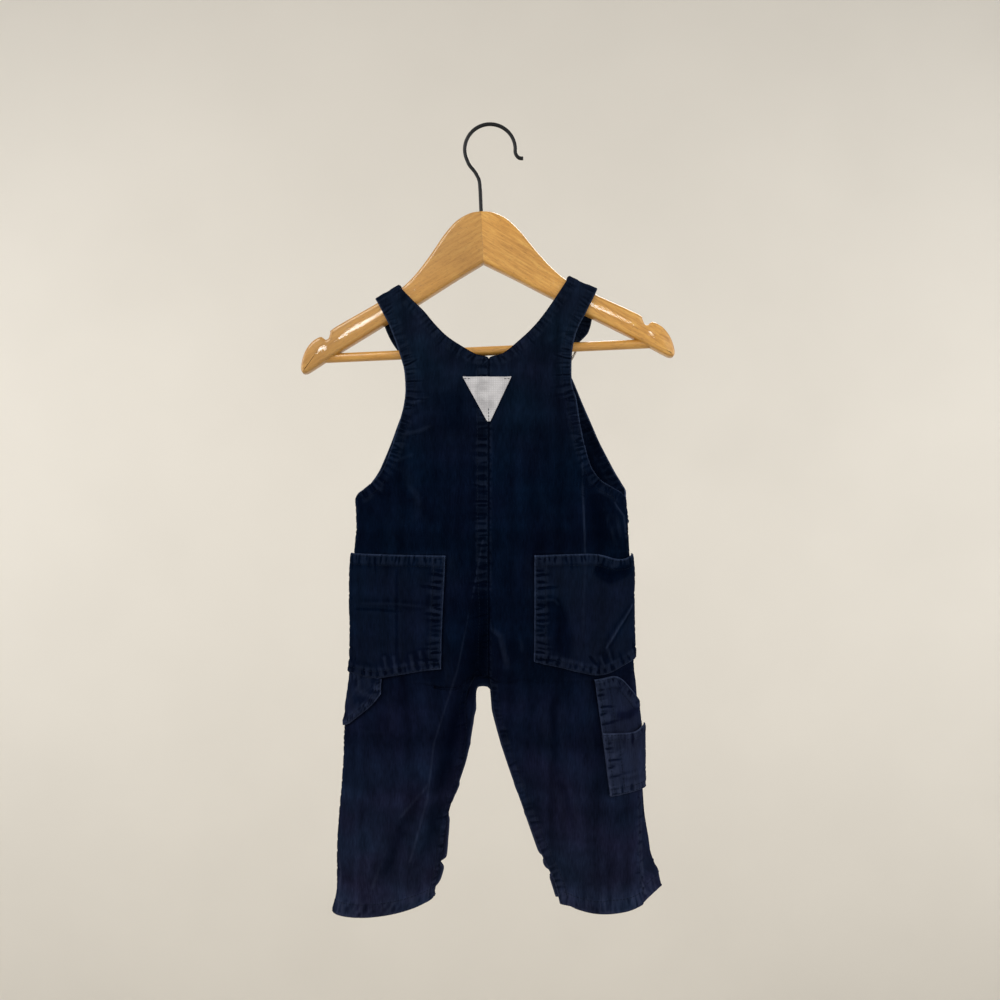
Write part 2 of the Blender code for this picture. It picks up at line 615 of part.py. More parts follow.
def patch_wall(name, patch, panel):
    """A pocket or loop, laid on its panel from an inner edge to the side seam."""
    base = LAY + patch.lap * (LAY + CLOTH)
    middle_z = (patch.top[0].z + patch.bottom[0].z) / 2
    first_u = panel.find((patch.top_x + patch.bottom_x) / 2, middle_z)[1]
    steps = [k / panel.columns for k in range(panel.columns + 1)]
    own = [u for u in steps if u > first_u + PATCH_STEP]

    def face(i, j, inside):
        down = j / patch.rows
        reach = i / len(own)
        if i == 0:
            x = mix(patch.top_x, patch.bottom_x, down)
            z = mix(patch.top[0].z, patch.bottom[0].z, down)
            v, u = panel.find(x, z)
        else:
            u = own[i - 1]
            share = (u - first_u) / (1 - first_u)
            z = mix(along(patch.top, share), along(patch.bottom, share), down)
            v = panel.level(u, z)
        stand = patch.mouth * (1 - down) ** 4 * math.sin(math.pi * mix(0.08, 0.92, reach))
        puff = patch.puff * math.sin(math.pi * down) * math.sin(math.pi * reach)
        lift = base + stand + puff + (0.0 if inside else CLOTH)
        return panel.point(v, u, lift)
    wall(name, len(own), patch.rows, face)


def label_wall(left, right):
    """The plain triangle across the centre back seam."""
    def face(i, j, inside):
        down = j / LABEL_ROWS
        half = mix(LABEL_HALF, LABEL_TIP_HALF, down)
        x = LABEL_TOP_X * (1 - down) + mix(-half, half, i / LABEL_COLUMNS)
        z = mix(LABEL_TOP, LABEL_BOTTOM, down)
        panel = left if x < 0 else right
        v, u = panel.find(x, z)
        place = panel.point(v, u, LAY + (0.0 if inside else LABEL_WALL))
        place.x = x
        return place
    wall("label", LABEL_COLUMNS, LABEL_ROWS, face, "label_weave")


def placket_wall(left, right):
    """The strip of the snap placket: up one inseam, round the crotch, down the other."""
    def leg(panel):
        last = len(panel.rows) - 1
        stops = [k / 2 for k in range(2 * (len(BIB) + PLACKET_FROM), 2 * last + 1)]
        for v in stops:
            row = panel.row(v)
            x = row.inner_x - panel.sign * PLACKET_SHOWS
            z = row.inner_z + (PLACKET_HEM if v == last else 0)
            yield Arch(x, z, x + panel.sign * PLACKET_WIDTH, z)
    edges = list(leg(left))[::-1] + list(PLACKET_ARCH) + list(leg(right))

    def face(i, j, inside):
        edge = edges[j]
        x, z = (edge.edge_x, edge.edge_z) if i == 0 else (edge.inside_x, edge.inside_z)
        return Vector((x, CLOTH / 2 if inside else -CLOTH / 2, z))
    wall("inseam_placket", 1, len(edges) - 1, face)


def bezel(name, radius, thickness, place, normal, finish, shank=0.0, shank_radius=0.0):
    """A snap cap or button: a turned profile set on the cloth."""
    rim = thickness * 0.4
    profile = [(0.0, 0.0), (radius, 0.0), (radius, thickness - rim), (radius - rim, thickness), (0.0, thickness)]
    if shank:
        profile = [(0.0, -shank), (shank_radius, -shank), (shank_radius, 0.0)] + profile[1:]
    bm = bmesh.new()
    ring = [bm.verts.new((r * MM, 0, h * MM)) for r, h in profile]
    for a, b in zip(ring, ring[1:]):
        bm.edges.new((a, b))
    bmesh.ops.spin(
        bm, geom=bm.verts[:] + bm.edges[:], cent=(0, 0, 0), axis=(0, 0, 1),
        angle=math.tau, steps=14, use_merge=True)
    bmesh.ops.remove_doubles(bm, verts=bm.verts[:], dist=1e-6)
    bmesh.ops.recalc_face_normals(bm, faces=bm.faces[:])
    mesh = bpy.data.meshes.new(name)
    bm.to_mesh(mesh)
    bm.free()
    made = new_object(name, mesh, finish)
    made.rotation_mode = "QUATERNION"
    made.rotation_quaternion = normal.to_track_quat("Z", "Y")
    made.location = place * MM
    return made


def wire(name, points, radius, finish, cyclic=False, rounds=2):
    """A bent wire along points, with filled ends."""
    curve = bpy.data.curves.new(name, "CURVE")
    curve.dimensions = "3D"
    curve.bevel_depth = radius * MM
    curve.bevel_resolution = rounds
    curve.use_fill_caps = not cyclic
    spline = curve.splines.new("POLY")
    spline.points.add(len(points) - 1)
    for spot, p in zip(spline.points, points):
        spot.co = (p[0] * MM, p[1] * MM, p[2] * MM, 1)
    spline.use_cyclic_u = cyclic
    return new_object(name, curve, finish)


def buckle(side, panel):
    """A wire buckle: a wide slide for the strap, narrowing to a ring round the bib button."""
    x, z = BUTTON_X[side], BUTTON_DROP
    v, u = panel.find(x, z)
    seat = panel.point(v, u)
    shank = BUCKLE_Y + BUCKLE_WIRE + LAY - seat.y
    bezel(
        "bib_button_" + side, BUTTON_CAP_RADIUS, BUTTON_CAP_THICKNESS,
        Vector((x, BUCKLE_Y + BUCKLE_WIRE + LAY, z)), Vector((0, 1, 0)), "buckle_metal",
        shank - LAY, BUTTON_SHANK_RADIUS)
    outline = []
    for step in range(9):
        angle = math.radians(mix(*RING_OPEN, step / 8))
        outline.append((RING_RADIUS * math.cos(angle), RING_RADIUS * math.sin(angle)))
    outline += BUCKLE_SIDE
    outline += [(-bend.x, bend.z) for bend in reversed(BUCKLE_SIDE)]
    lean = Matrix.Rotation(BUCKLE_LEAN[side], 2)
    points = []
    for spot in outline:
        turned = lean @ Vector(spot)
        points.append((x + turned.x, BUCKLE_Y, z + turned.y))
    wire("buckle_" + side, points, BUCKLE_WIRE, "buckle_metal", cyclic=True, rounds=1)


def snaps(side, panel):
    for number, z in enumerate(SNAP_LEVELS, start=1):
        edge = panel.row(panel.level(0.0, z))
        x = edge.inner_x + panel.sign * SNAP_IN
        v, u = panel.find(x, z)
        out = (panel.point(v, u, 1) - panel.point(v, u)).normalized()
        place = panel.point(v, u, SNAP_LAY)
        bezel(f"snap_{side}_{number}", SNAP_RADIUS, SNAP_HEIGHT, place, out, "buckle_metal")


def to_mesh(source, name, finish):
    """The mesh of a curve object, welded, in a new object; the curve is removed."""
    bpy.context.view_layer.update()
    seen = source.evaluated_get(bpy.context.evaluated_depsgraph_get())
    mesh = bpy.data.meshes.new_from_object(seen)
    place = source.matrix_world.copy()
    bpy.data.objects.remove(source)
    bm = bmesh.new()
    bm.from_mesh(mesh)
    bmesh.ops.remove_doubles(bm, verts=bm.verts[:], dist=1e-5)
    bmesh.ops.recalc_face_normals(bm, faces=bm.faces[:])
    bm.to_mesh(mesh)
    bm.free()
    made = new_object(name, mesh, finish)
    made.matrix_world = place
    return made


def cutter(name, radius, length, place, turn):
    bpy.ops.mesh.primitive_cylinder_add(vertices=12, radius=radius * MM, depth=length * MM)
    made = bpy.context.object
    made.name = name
    made.location = place * MM
    made.rotation_euler = turn
    made.hide_render = True
    made.display_type = "WIRE"
    for home in list(made.users_collection):
        home.objects.unlink(made)
    CUTTERS.objects.link(made)
    return made


def hanger():
    """Two mitred boards, a dowel bar and a wire hook, tilted about the peg."""
    tilt = bpy.data.objects.new("hanger_frame", None)
    PARTS.objects.link(tilt)
    tilt.rotation_euler = (0, -HANGER_TILT, 0)
    bar_bore = cutter("bar_bore", BAR_RADIUS + 0.3, 2 * BORE_DEPTH,
                      Vector((HANGER_X, 0, BAR_Z)), (0, math.radians(90), 0))
    hook_bore = cutter("hook_bore", WIRE_RADIUS + 0.4, 32,
                       Vector((HANGER_X, 0, SHAFT_BOTTOM + 15.5)), (0, 0, 0))
    for side, sign in (("left", -1), ("right", 1)):
        outline = [Outline(max(p.x, MITRE), p.z) for p in ARM_TOP + ARM_NOTCH + ARM_END + ARM_UNDER]
        curve = bpy.data.curves.new("arm_outline", "CURVE")
        curve.dimensions = "2D"
        curve.fill_mode = "BOTH"
        curve.bevel_depth = BOARD_EDGE * MM
        curve.bevel_resolution = 1
        curve.offset = -BOARD_EDGE * MM
        curve.extrude = (BOARD / 2 - BOARD_EDGE) * MM
        spline = curve.splines.new("POLY")
        spline.points.add(len(outline) - 1)
        for spot, p in zip(spline.points, outline):
            spot.co = (sign * p.x * MM, p.z * MM, 0, 1)
        spline.use_cyclic_u = True
        blank = bpy.data.objects.new("arm_blank", curve)
        PARTS.objects.link(blank)
        blank.location = (HANGER_X * MM, 0, 0)
        blank.rotation_euler = (math.radians(90), 0, 0)
        arm = to_mesh(blank, "hanger_arm_" + side, "hanger_wood")
        arm.parent = tilt
        for tool in (bar_bore, hook_bore):
            cut = arm.modifiers.new("cut", "BOOLEAN")
            cut.operation = "DIFFERENCE"
            cut.object = tool
    for tool in (bar_bore, hook_bore):
        tool.parent = tilt
    bpy.ops.mesh.primitive_cylinder_add(vertices=16, radius=BAR_RADIUS * MM, depth=2 * BAR_HALF * MM)
    bar = bpy.context.object
    for home in list(bar.users_collection):
        home.objects.unlink(bar)
    PARTS.objects.link(bar)
    bar.name = "hanger_bar"
    bar.data.materials.append(material("hanger_wood"))
    bar.rotation_euler = (0, math.radians(90), 0)
    bar.location = Vector((HANGER_X, 0, BAR_Z)) * MM
    bar.parent = tilt

    centre_z = WIRE_RADIUS - LOOP_RADIUS
    path = list(HOOK_NECK)
    for step in range(19):
        angle = math.radians(mix(*HOOK_ROUND, step / 18))
        path.append(Outline(LOOP_X + LOOP_RADIUS * math.cos(angle), centre_z + LOOP_RADIUS * math.sin(angle)))
    path += HOOK_TIP
    hook = wire("hanger_hook", [(p.x + HANGER_X, 0, p.z) for p in path], WIRE_RADIUS, "hanger_wire")
    hook.parent = tilt


def overalls():
    back = {side: back_panel(side) for side in ("left", "right")}
    front = {side: front_panel(side) for side in ("left", "right")}
    for side in ("left", "right"):
        back_wall(side, back[side])
        front_wall(side, front[side])
        buckle(side, front[side])
        snaps(side, front[side])
    bib_wall(front["left"], front["right"])
    for name, patch in PATCHES.items():
        patch_wall(name, patch, back[patch.side])
    label_wall(back["left"], back["right"])
    placket_wall(front["left"], front["right"])


for leftover in list(bpy.data.objects):
    bpy.data.objects.remove(leftover)
PARTS = bpy.data.collections.new(NAME)
CUTTERS = bpy.data.collections.new("cutters")
bpy.context.scene.collection.children.link(PARTS)
bpy.context.scene.collection.children.link(CUTTERS)
overalls()
hanger()
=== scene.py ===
"""Toddler's bib overalls of washed needlecord, hung on a notched wooden child's hanger.

The garment hangs nearly flat. Each half of the back and of the front is a panel: a table of rows
from top to hem, each a curve from an inner edge (neck, centre seam or inseam) to an outer edge
(strap, armhole or side seam). The shells are fine grids on those panels, with their folds, turned
hems, stitched bands and the puckers that washing leaves in them. Tables are in millimetres.
"""
import math
from collections import namedtuple

import bmesh
import bpy
import numpy as np
from mathutils import Matrix, Vector


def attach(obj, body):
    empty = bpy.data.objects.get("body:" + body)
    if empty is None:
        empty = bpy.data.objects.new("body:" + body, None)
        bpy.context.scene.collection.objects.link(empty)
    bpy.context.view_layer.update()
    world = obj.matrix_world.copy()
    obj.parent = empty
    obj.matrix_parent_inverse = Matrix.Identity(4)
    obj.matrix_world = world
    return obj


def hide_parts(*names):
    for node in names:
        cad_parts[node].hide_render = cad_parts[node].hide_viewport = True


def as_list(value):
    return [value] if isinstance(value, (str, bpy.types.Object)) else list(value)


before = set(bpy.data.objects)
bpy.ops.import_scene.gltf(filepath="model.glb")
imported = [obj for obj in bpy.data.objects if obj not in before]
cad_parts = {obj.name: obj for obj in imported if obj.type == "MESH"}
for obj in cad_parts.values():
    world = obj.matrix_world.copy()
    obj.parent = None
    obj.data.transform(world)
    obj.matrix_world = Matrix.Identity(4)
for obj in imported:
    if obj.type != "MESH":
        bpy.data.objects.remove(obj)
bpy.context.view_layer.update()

MM = 0.001
SIDES = ("left", "right")

# ---------------------------------------------------------------- camera, lights and stage

CAMERA = (0.0089, -0.660, -0.3029)
LENS = 29.33
SENSOR = 36
NEAREST_SEEN = 0.01
WALL_Y = 1.35
FLOOR_Z = -1.6
PLANE_SIZE = 9          # of the wall and of the floor
ROOM_COLOUR, ROOM_LIGHT = "F6F3EE", 0.42
# name, place, where it points, size, watts, tint
LAMPS = (
    ("key", (-0.95, -1.05, 0.95), (0, 0, -0.3), 0.8, 17, "FFF8F0"),
    ("fill", (1.25, -1.25, 0.25), (0, 0, -0.35), 1.2, 7, "FFFAF5"),
    ("low", (0.1, -1.7, -1.1), (0, 0, -0.4), 1.3, 3, "FFFFFF"),
    ("front", (0.28, 0.7, 0.47), (0.05, 0, -0.3), 0.45, 4.8, "FFFAF5"),
    ("shine_left", (-0.33, -1.3, 0.13), (-0.105, 0, -0.157), 0.12, 1.6, "FFFDF6"),
    ("shine_right", (0.25, -1.3, 0.15), (0.09, 0, -0.152), 0.08, 0.7, "FFFDF6"),
    ("wall_left", (-1.9, -0.1, -0.1), (-0.3, 1.35, -0.4), 1.6, 20, "FFFFFF"),
    ("wall_right", (1.9, -0.1, -0.1), (0.3, 1.35, -0.4), 1.6, 20, "FFFFFF"),
)

# ---------------------------------------------------------------- the cut, as in the solids

CLOTH = 1.5             # wall of the solids
SHELL = 1.15            # wall of the shells
LAY = 0.55              # between a panel and what lies on it
STRAP_Y = 8.0           # of a strap, behind and before the hanger's arm
ARM_CLEARANCE = 6.0     # how far a strap's turn rises over the arm
ARC_STEPS = 6           # rows in that turn
SEAM = 0.2              # between a seam's plane and each panel
# How full the rows of the body and of a leg are drawn.
BODY_ROUND = (2.4, 0.6)
LEG_ROUND = (1.7, 0.6)
SPREAD = 1.3            # how close a row's columns crowd at the side seam
LEG_SPREAD = 0.6        # and, on a leg, at both of its edges
FLARE_AT = 0.08         # shares of a row: where it flares most, over which folds fade out at
EDGE_FADE = 0.12        # its edges, and from where it faces the side
SIDE_FROM = 0.9
LEG_PARTS = 0.15        # share of a leg's form from which the inner edge is an inseam
HEM_SAG = {"left": 2.0, "right": 5.0}
WAIST_LEVEL = 1
CROTCH_LEVEL = 8        # the level from which the inner edges are inseams
V_POINT = 7             # the yoke row at the point of the neck

# Rows above the underarm, for one half of the back. y is the depth behind the hanger's plane.
Yoke = namedtuple("Yoke", "inner_x inner_z outer_x outer_z inner_y outer_y")
YOKE_LEFT = (
    Yoke(-69.5, -133.9, -88.8, -145.6, 8.0, 8.0),
    Yoke(-60.5, -143.3, -84.4, -154.0, 8.1, 8.1),
    Yoke(-51.9, -151.7, -80.5, -161.5, 8.3, 8.3),
    Yoke(-43.1, -162.2, -76.2, -172.3, 8.8, 8.6),
    Yoke(-33.4, -171.9, -72.4, -183.0, 9.4, 9.0),
    Yoke(-21.8, -179.8, -69.6, -191.5, 10.0, 9.6),
    Yoke(-10.5, -186.2, -67.8, -198.5, 10.6, 10.0),
    Yoke(-0.2, -190.0, -66.9, -206.0, 11.2, 10.5),
    Yoke(-0.2, -206.0, -66.5, -214.5, 12.6, 11.0),
    Yoke(-0.2, -223.0, -67.3, -225.0, 13.8, 11.7),
    Yoke(-0.2, -241.0, -71.0, -241.0, 15.2, 12.6),
    Yoke(-0.2, -255.0, -75.3, -254.6, 16.2, 13.2),
    Yoke(-0.2, -268.0, -79.9, -268.0, 17.0, 13.4),
    Yoke(-0.2, -279.0, -84.6, -278.6, 17.6, 12.8),
    Yoke(-0.2, -289.0, -91.2, -287.2, 18.1, 11.2),
    Yoke(-0.2, -297.0, -99.3, -293.6, 18.6, 7.8),
)
YOKE_RIGHT = (
    Yoke(62.0, -127.2, 85.2, -137.8, 8.0, 8.0),
    Yoke(55.2, -137.8, 80.2, -147.8, 8.1, 8.1),
    Yoke(49.0, -147.0, 76.2, -156.0, 8.3, 8.3),
    Yoke(42.0, -156.6, 71.8, -164.4, 8.8, 8.6),
    Yoke(33.8, -166.2, 68.6, -174.0, 9.4, 9.0),
    Yoke(23.3, -176.0, 66.7, -184.0, 10.0, 9.6),
    Yoke(11.3, -185.6, 66.1, -193.0, 10.6, 10.0),
    Yoke(0.2, -190.0, 66.0, -201.0, 11.2, 10.5),
    Yoke(0.2, -206.0, 66.2, -209.0, 12.6, 11.0),
    Yoke(0.2, -223.0, 69.8, -223.0, 13.8, 11.7),
    Yoke(0.2, -241.0, 72.4, -241.0, 15.2, 12.6),
    Yoke(0.2, -255.0, 75.3, -255.0, 16.2, 13.2),
    Yoke(0.2, -268.0, 78.6, -268.0, 17.0, 13.4),
    Yoke(0.2, -279.0, 83.0, -279.0, 17.6, 12.8),
    Yoke(0.2, -289.0, 90.2, -287.6, 18.1, 11.2),
    Yoke(0.2, -297.0, 98.8, -293.0, 18.6, 7.8),
)

# The strap's run down the bib side, from its free end up to the arm.
STRAP_FRONT_LEFT = (
    Yoke(-54.8, -175.6, -73.2, -183.0, -9.9, -9.9),
    Yoke(-60.0, -164.8, -80.2, -173.0, -9.2, -9.2),
    Yoke(-65.2, -150.0, -86.0, -159.6, -8.4, -8.4),
)
STRAP_FRONT_RIGHT = (
    Yoke(53.0, -167.4, 73.6, -173.6, -9.9, -9.9),
    Yoke(56.4, -158.0, 81.6, -165.0, -9.2, -9.2),
    Yoke(59.4, -146.0, 84.4, -153.4, -8.4, -8.4),
)

# Rows of the bib, above the underarm. y is the depth in front of the hanger's plane.
Bib = namedtuple("Bib", "centre_z left_x left_z right_x right_z centre_y side_y")
BIB = (
    Bib(-193.0, -56.5, -188.5, 61.0, -188.5, 12.0, 10.0),
    Bib(-205.0, -62.0, -204.0, 68.9, -204.0, 13.0, 11.8),
    Bib(-223.0, -68.8, -223.0, 77.0, -223.0, 14.2, 13.4),
    Bib(-241.0, -75.8, -241.0, 85.0, -241.0, 15.0, 14.4),
    Bib(-255.0, -81.0, -255.0, 91.2, -255.0, 15.6, 15.2),
    Bib(-268.0, -86.4, -268.0, 98.0, -268.0, 16.0, 15.8),
    Bib(-279.0, -91.4, -279.0, 103.8, -279.0, 16.4, 15.8),
    Bib(-289.0, -97.2, -288.0, 109.0, -288.0, 16.7, 14.6),
    Bib(-297.0, -103.6, -296.0, 112.6, -296.0, 16.9, 10.0),
)

# Rows from the underarm to the hem, for one half. Back and front share the side seam; the
# inner edge is the centre seam and, below the crotch, the inseam. swell is the leg's own
# depth, leg its share in a row's shape, flare how far the front rolls out past the seam.
Level = namedtuple(
    "Level",
    "seam_x seam_z seam_y inner_z back_x front_x back_y front_y back_swell front_swell leg flare",
)
LEVELS_LEFT = (
    Level(-108.2, -302.5, 0, -305, -0.2, -0.2, 19.2, 17.2, 0, 0, 0, 0),
    Level(-107.2, -322.0, 0, -323, -0.2, -0.2, 21.0, 18.2, 0, 0, 0, 0),
    Level(-109.2, -345.5, 0, -346, -0.2, -0.2, 23.0, 19.0, 0, 0, 0, 0),
    Level(-111.0, -362.0, 0, -362, -0.2, -0.2, 24.0, 19.6, 0, 0, 0, 0),
    Level(-111.3, -385.0, 0, -385, -0.2, -0.2, 24.4, 19.8, 0, 0, 0, 0),
    Level(-110.8, -408.0, 0, -408, -0.2, -0.2, 22.6, 18.8, 1.0, 1.0, 0, 0),
    Level(-111.2, -430.0, 0, -428, -0.2, -0.2, 17.4, 16.6, 5.0, 3.0, 0, 0),
    Level(-112.4, -444.5, 0, -445.6, -0.2, -0.2, 9.0, 13.0, 11.5, 6.0, 0.05, 0),
    Level(-112.8, -448.5, 0, -449.0, -11.6, -1.6, 6.0, 11.0, 13.5, 7.5, 0.15, 0),
    Level(-113.6, -458.0, 0, -457, -15.0, -9.6, 4.8, 5.0, 15.0, 10.5, 0.4, 0),
    Level(-115.2, -472.0, 0, -472, -17.0, -11.6, 3.0, 2.6, 17.0, 13.0, 0.75, 0),
    Level(-117.2, -490.0, 0, -490, -18.0, -14.0, 1.7, 1.7, 19.0, 14.5, 1, 0),
    Level(-117.8, -512.0, 0, -511, -20.5, -18.0, 1.7, 1.7, 19.0, 15.0, 1, 0),
    Level(-119.4, -535.0, 0, -533, -26.0, -25.0, 1.7, 1.7, 18.5, 15.0, 1, 0),
    Level(-121.3, -558.0, 0, -555, -32.6, -31.4, 1.7, 1.7, 18.0, 15.0, 1, 1),
    Level(-122.6, -578.0, 0, -574, -35.8, -33.0, 1.7, 1.7, 17.5, 14.5, 1, 1.5),
    Level(-123.0, -597.0, 0, -592, -38.2, -34.6, 1.7, 1.7, 17.0, 14.5, 1, 2),
    Level(-123.0, -614.0, 0, -607, -41.8, -38.4, 1.7, 1.7, 16.5, 14.0, 1, 3),
    Level(-127.0, -635.6, 0, -624, -45.4, -43.0, 1.7, 1.7, 16.0, 13.5, 1, 1),
)
LEVELS_RIGHT = (
    Level(110.5, -302.5, -4, -305, 0.2, 0.2, 19.2, 17.2, 0, 0, 0, 2),
    Level(111.2, -322.0, -7, -323, 0.2, 0.2, 21.0, 18.2, 0, 0, 0, 4.5),
    Level(113.0, -345.5, -5, -346, 0.2, 0.2, 23.0, 19.0, 0, 0, 0, 4),
    Level(115.6, -362.0, -2, -362, 0.2, 0.2, 24.0, 19.6, 0, 0, 0, 1),
    Level(116.0, -385.0, 0, -385, 0.2, 0.2, 24.4, 19.8, 0, 0, 0, 0),
    Level(116.6, -408.0, 0, -408, 0.2, 0.2, 22.6, 18.8, 1.0, 1.0, 0, 0),
    Level(117.4, -430.0, 0, -428, 0.2, 0.2, 17.4, 16.6, 5.0, 3.0, 0, 0),
    Level(118.4, -444.5, -1, -445.6, 0.2, 0.2, 9.0, 13.0, 11.5, 6.0, 0.05, 0.5),
    Level(118.8, -448.5, -2, -449.0, 0.5, 0.5, 6.0, 11.0, 13.5, 7.5, 0.15, 0.8),
    Level(119.4, -458.0, -3, -457, 2.0, 1.4, 4.8, 5.0, 15.0, 10.5, 0.4, 1.2),
    Level(120.4, -472.0, -4, -472, 3.4, 2.8, 3.0, 2.6, 17.0, 13.0, 0.75, 2),
    Level(121.6, -490.0, -6, -490, 7.6, 7.0, 1.7, 1.7, 19.0, 14.5, 1, 3.5),
    Level(121.6, -512.0, -8, -511, 14.0, 13.4, 1.7, 1.7, 19.0, 15.0, 1, 5.5),
    Level(120.8, -535.0, -9, -533, 21.6, 21.0, 1.7, 1.7, 18.5, 15.0, 1, 9),
    Level(119.6, -558.0, -10, -555, 29.6, 28.8, 1.7, 1.7, 18.0, 15.0, 1, 12),
    Level(119.6, -578.0, -11, -574, 37.0, 35.4, 1.7, 1.7, 17.5, 14.5, 1, 15),
    Level(120.6, -597.0, -11, -592, 45.0, 42.0, 1.7, 1.7, 17.0, 14.5, 1, 17),
    Level(122.0, -611.0, -11, -608, 52.4, 49.0, 1.7, 1.7, 16.5, 14.0, 1, 20),
    Level(123.6, -624.0, -11, -624.6, 56.6, 54.4, 1.7, 1.7, 16.0, 13.5, 1, 21),
)

# Folds: a line through three points; height outwards, and how far each side of it reaches.
# beside is the side at lower x, beyond the side at higher x.
Fold = namedtuple("Fold", "x1 z1 x2 z2 x3 z3 height beside beyond")
BACK_FOLDS = (
    Fold(0, -322, -18, -400, -42, -500, 5.5, 17, 8),
    Fold(-41, -492, -50, -548, -63, -594, 4.5, 10, 7),
    Fold(6, -372, -8, -440, -28, -508, -5.0, 8, 12),
    Fold(-31, -510, -38, -552, -47, -596, -3.5, 7, 7),
    Fold(-45, -514, -70, -553, -98, -616, 5.0, 22, 8),
    Fold(-54, -534, -68, -565, -86, -610, -4.0, 7, 9),
    Fold(71, -250, 74, -310, 73, -440, 3.0, 9, 8),
    Fold(86, -298, 88, -320, 88, -346, -3.5, 8, 9),
    Fold(97, -304, 104, -324, 109, -346, 3.0, 7, 7),
    Fold(54, -430, 57, -500, 64, -580, -3.5, 7, 7),
    Fold(72, -446, 78, -520, 84, -606, 4.0, 9, 14),
    Fold(117, -384, 103, -402, 91, -426, 3.5, 7, 8),
    Fold(-86, -266, -72, -288, -56, -312, 3.0, 8, 8),
    Fold(-60, -302, -57, -324, -53, -346, -3.0, 7, 7),
    Fold(-99, -300, -101, -314, -100, -334, -2.5, 7, 7),
    Fold(8, -398, 15, -430, 9, -464, 3.0, 7, 7),
    Fold(25, -402, 28, -436, 23, -476, -3.0, 7, 7),
    Fold(95, -584, 97, -606, 100, -630, -2.5, 7, 7),
)
FRONT_FOLDS = (
    Fold(-4, -340, -24, -420, -52, -520, 4.0, 12, 7),
    Fold(8, -352, 0, -400, -8, -452, -4.0, 8, 10),
    Fold(-60, -500, -74, -556, -88, -616, 4.0, 12, 8),
    Fold(62, -380, 70, -470, 78, -600, 4.5, 12, 9),
    Fold(44, -440, 50, -510, 62, -590, -4.0, 8, 8),
    Fold(96, -440, 102, -500, 106, -580, -3.0, 8, 8),
    Fold(-42, -236, -52, -270, -62, -318, 3.0, 10, 7),
    Fold(38, -236, 50, -270, 60, -320, 3.0, 7, 10),
    Fold(2, -236, -4, -280, 4, -326, -2.5, 9, 9),
)

# Patches: the inner edge's x at top and bottom, then the outline as shares of the way to the
# seam. mouth is how far the top edge stands away, lap the layers that it lies on and puff how far
# its middle stands out.
Patch = namedtuple("Patch", "side top_x bottom_x top bottom mouth lap puff")
Edge = namedtuple("Edge", "share z")
PATCHES = {
    "hip_pocket_left": Patch(
        "left", -33.4, -37.4,
        (Edge(0, -346.4), Edge(1, -345.6)),
        (Edge(0, -434.0), Edge(0.62, -445.4), Edge(1, -441.6)), 1.2, 0, 0.8),
    "hip_pocket_right": Patch(
        "right", 35.6, 35.6,
        (Edge(0, -346.2), Edge(0.55, -344.6), Edge(0.78, -351.5), Edge(1, -345.6)),
        (Edge(0, -429.6), Edge(0.56, -443.6), Edge(0.78, -435.4), Edge(1, -430.2)), 2.6, 0, 1.4),
    "hammer_loop": Patch(
        "left", -84.4, -84.4,
        (Edge(0, -444.8), Edge(1, -440.8)),
        (Edge(0, -456.0), Edge(0.12, -463.0), Edge(0.38, -472.5), Edge(0.72, -482.5), Edge(1, -485.0)),
        0, 0, 1.8),
    "tool_pocket": Patch(
        "right", 82.9, 94.6,
        (Edge(0, -444.6), Edge(0.45, -442.2), Edge(1, -464.0)),
        (Edge(0, -534.4), Edge(1, -531.0)), 0, 0, 0.6),
    "tool_pocket_pouch": Patch(
        "right", 88.4, 94.6,
        (Edge(0, -485.4), Edge(0.6, -486.6), Edge(1, -481.6)),
        (Edge(0, -534.4), Edge(1, -531.0)), 2.2, 1, 0.9),
}

LABEL_TOP = -205.2
LABEL_BOTTOM = -241.0
LABEL_TOP_X = -1.4      # middle of its top edge
LABEL_HALF = 19.4
LABEL_TIP_HALF = 1.2

# The snap placket: a strip that lies between back and front, round the crotch.
Arch = namedtuple("Arch", "edge_x edge_z inside_x inside_z")
PLACKET_ARCH = (
    Arch(-10.4, -456.0, -14.6, -449.6),
    Arch(-8.2, -454.0, -12.0, -443.6),
    Arch(-4.6, -453.6, -5.0, -441.6),
    Arch(-1.4, -454.0, 1.4, -442.4),
    Arch(0.8, -456.0, 6.4, -449.6),
)
PLACKET_FROM = 10       # the level under the arch
PLACKET_WIDTH = 11.0
PLACKET_SHOWS = 0.4     # past the front's inseam
PLACKET_HEM = 3.0       # its end's height over the leg's hem

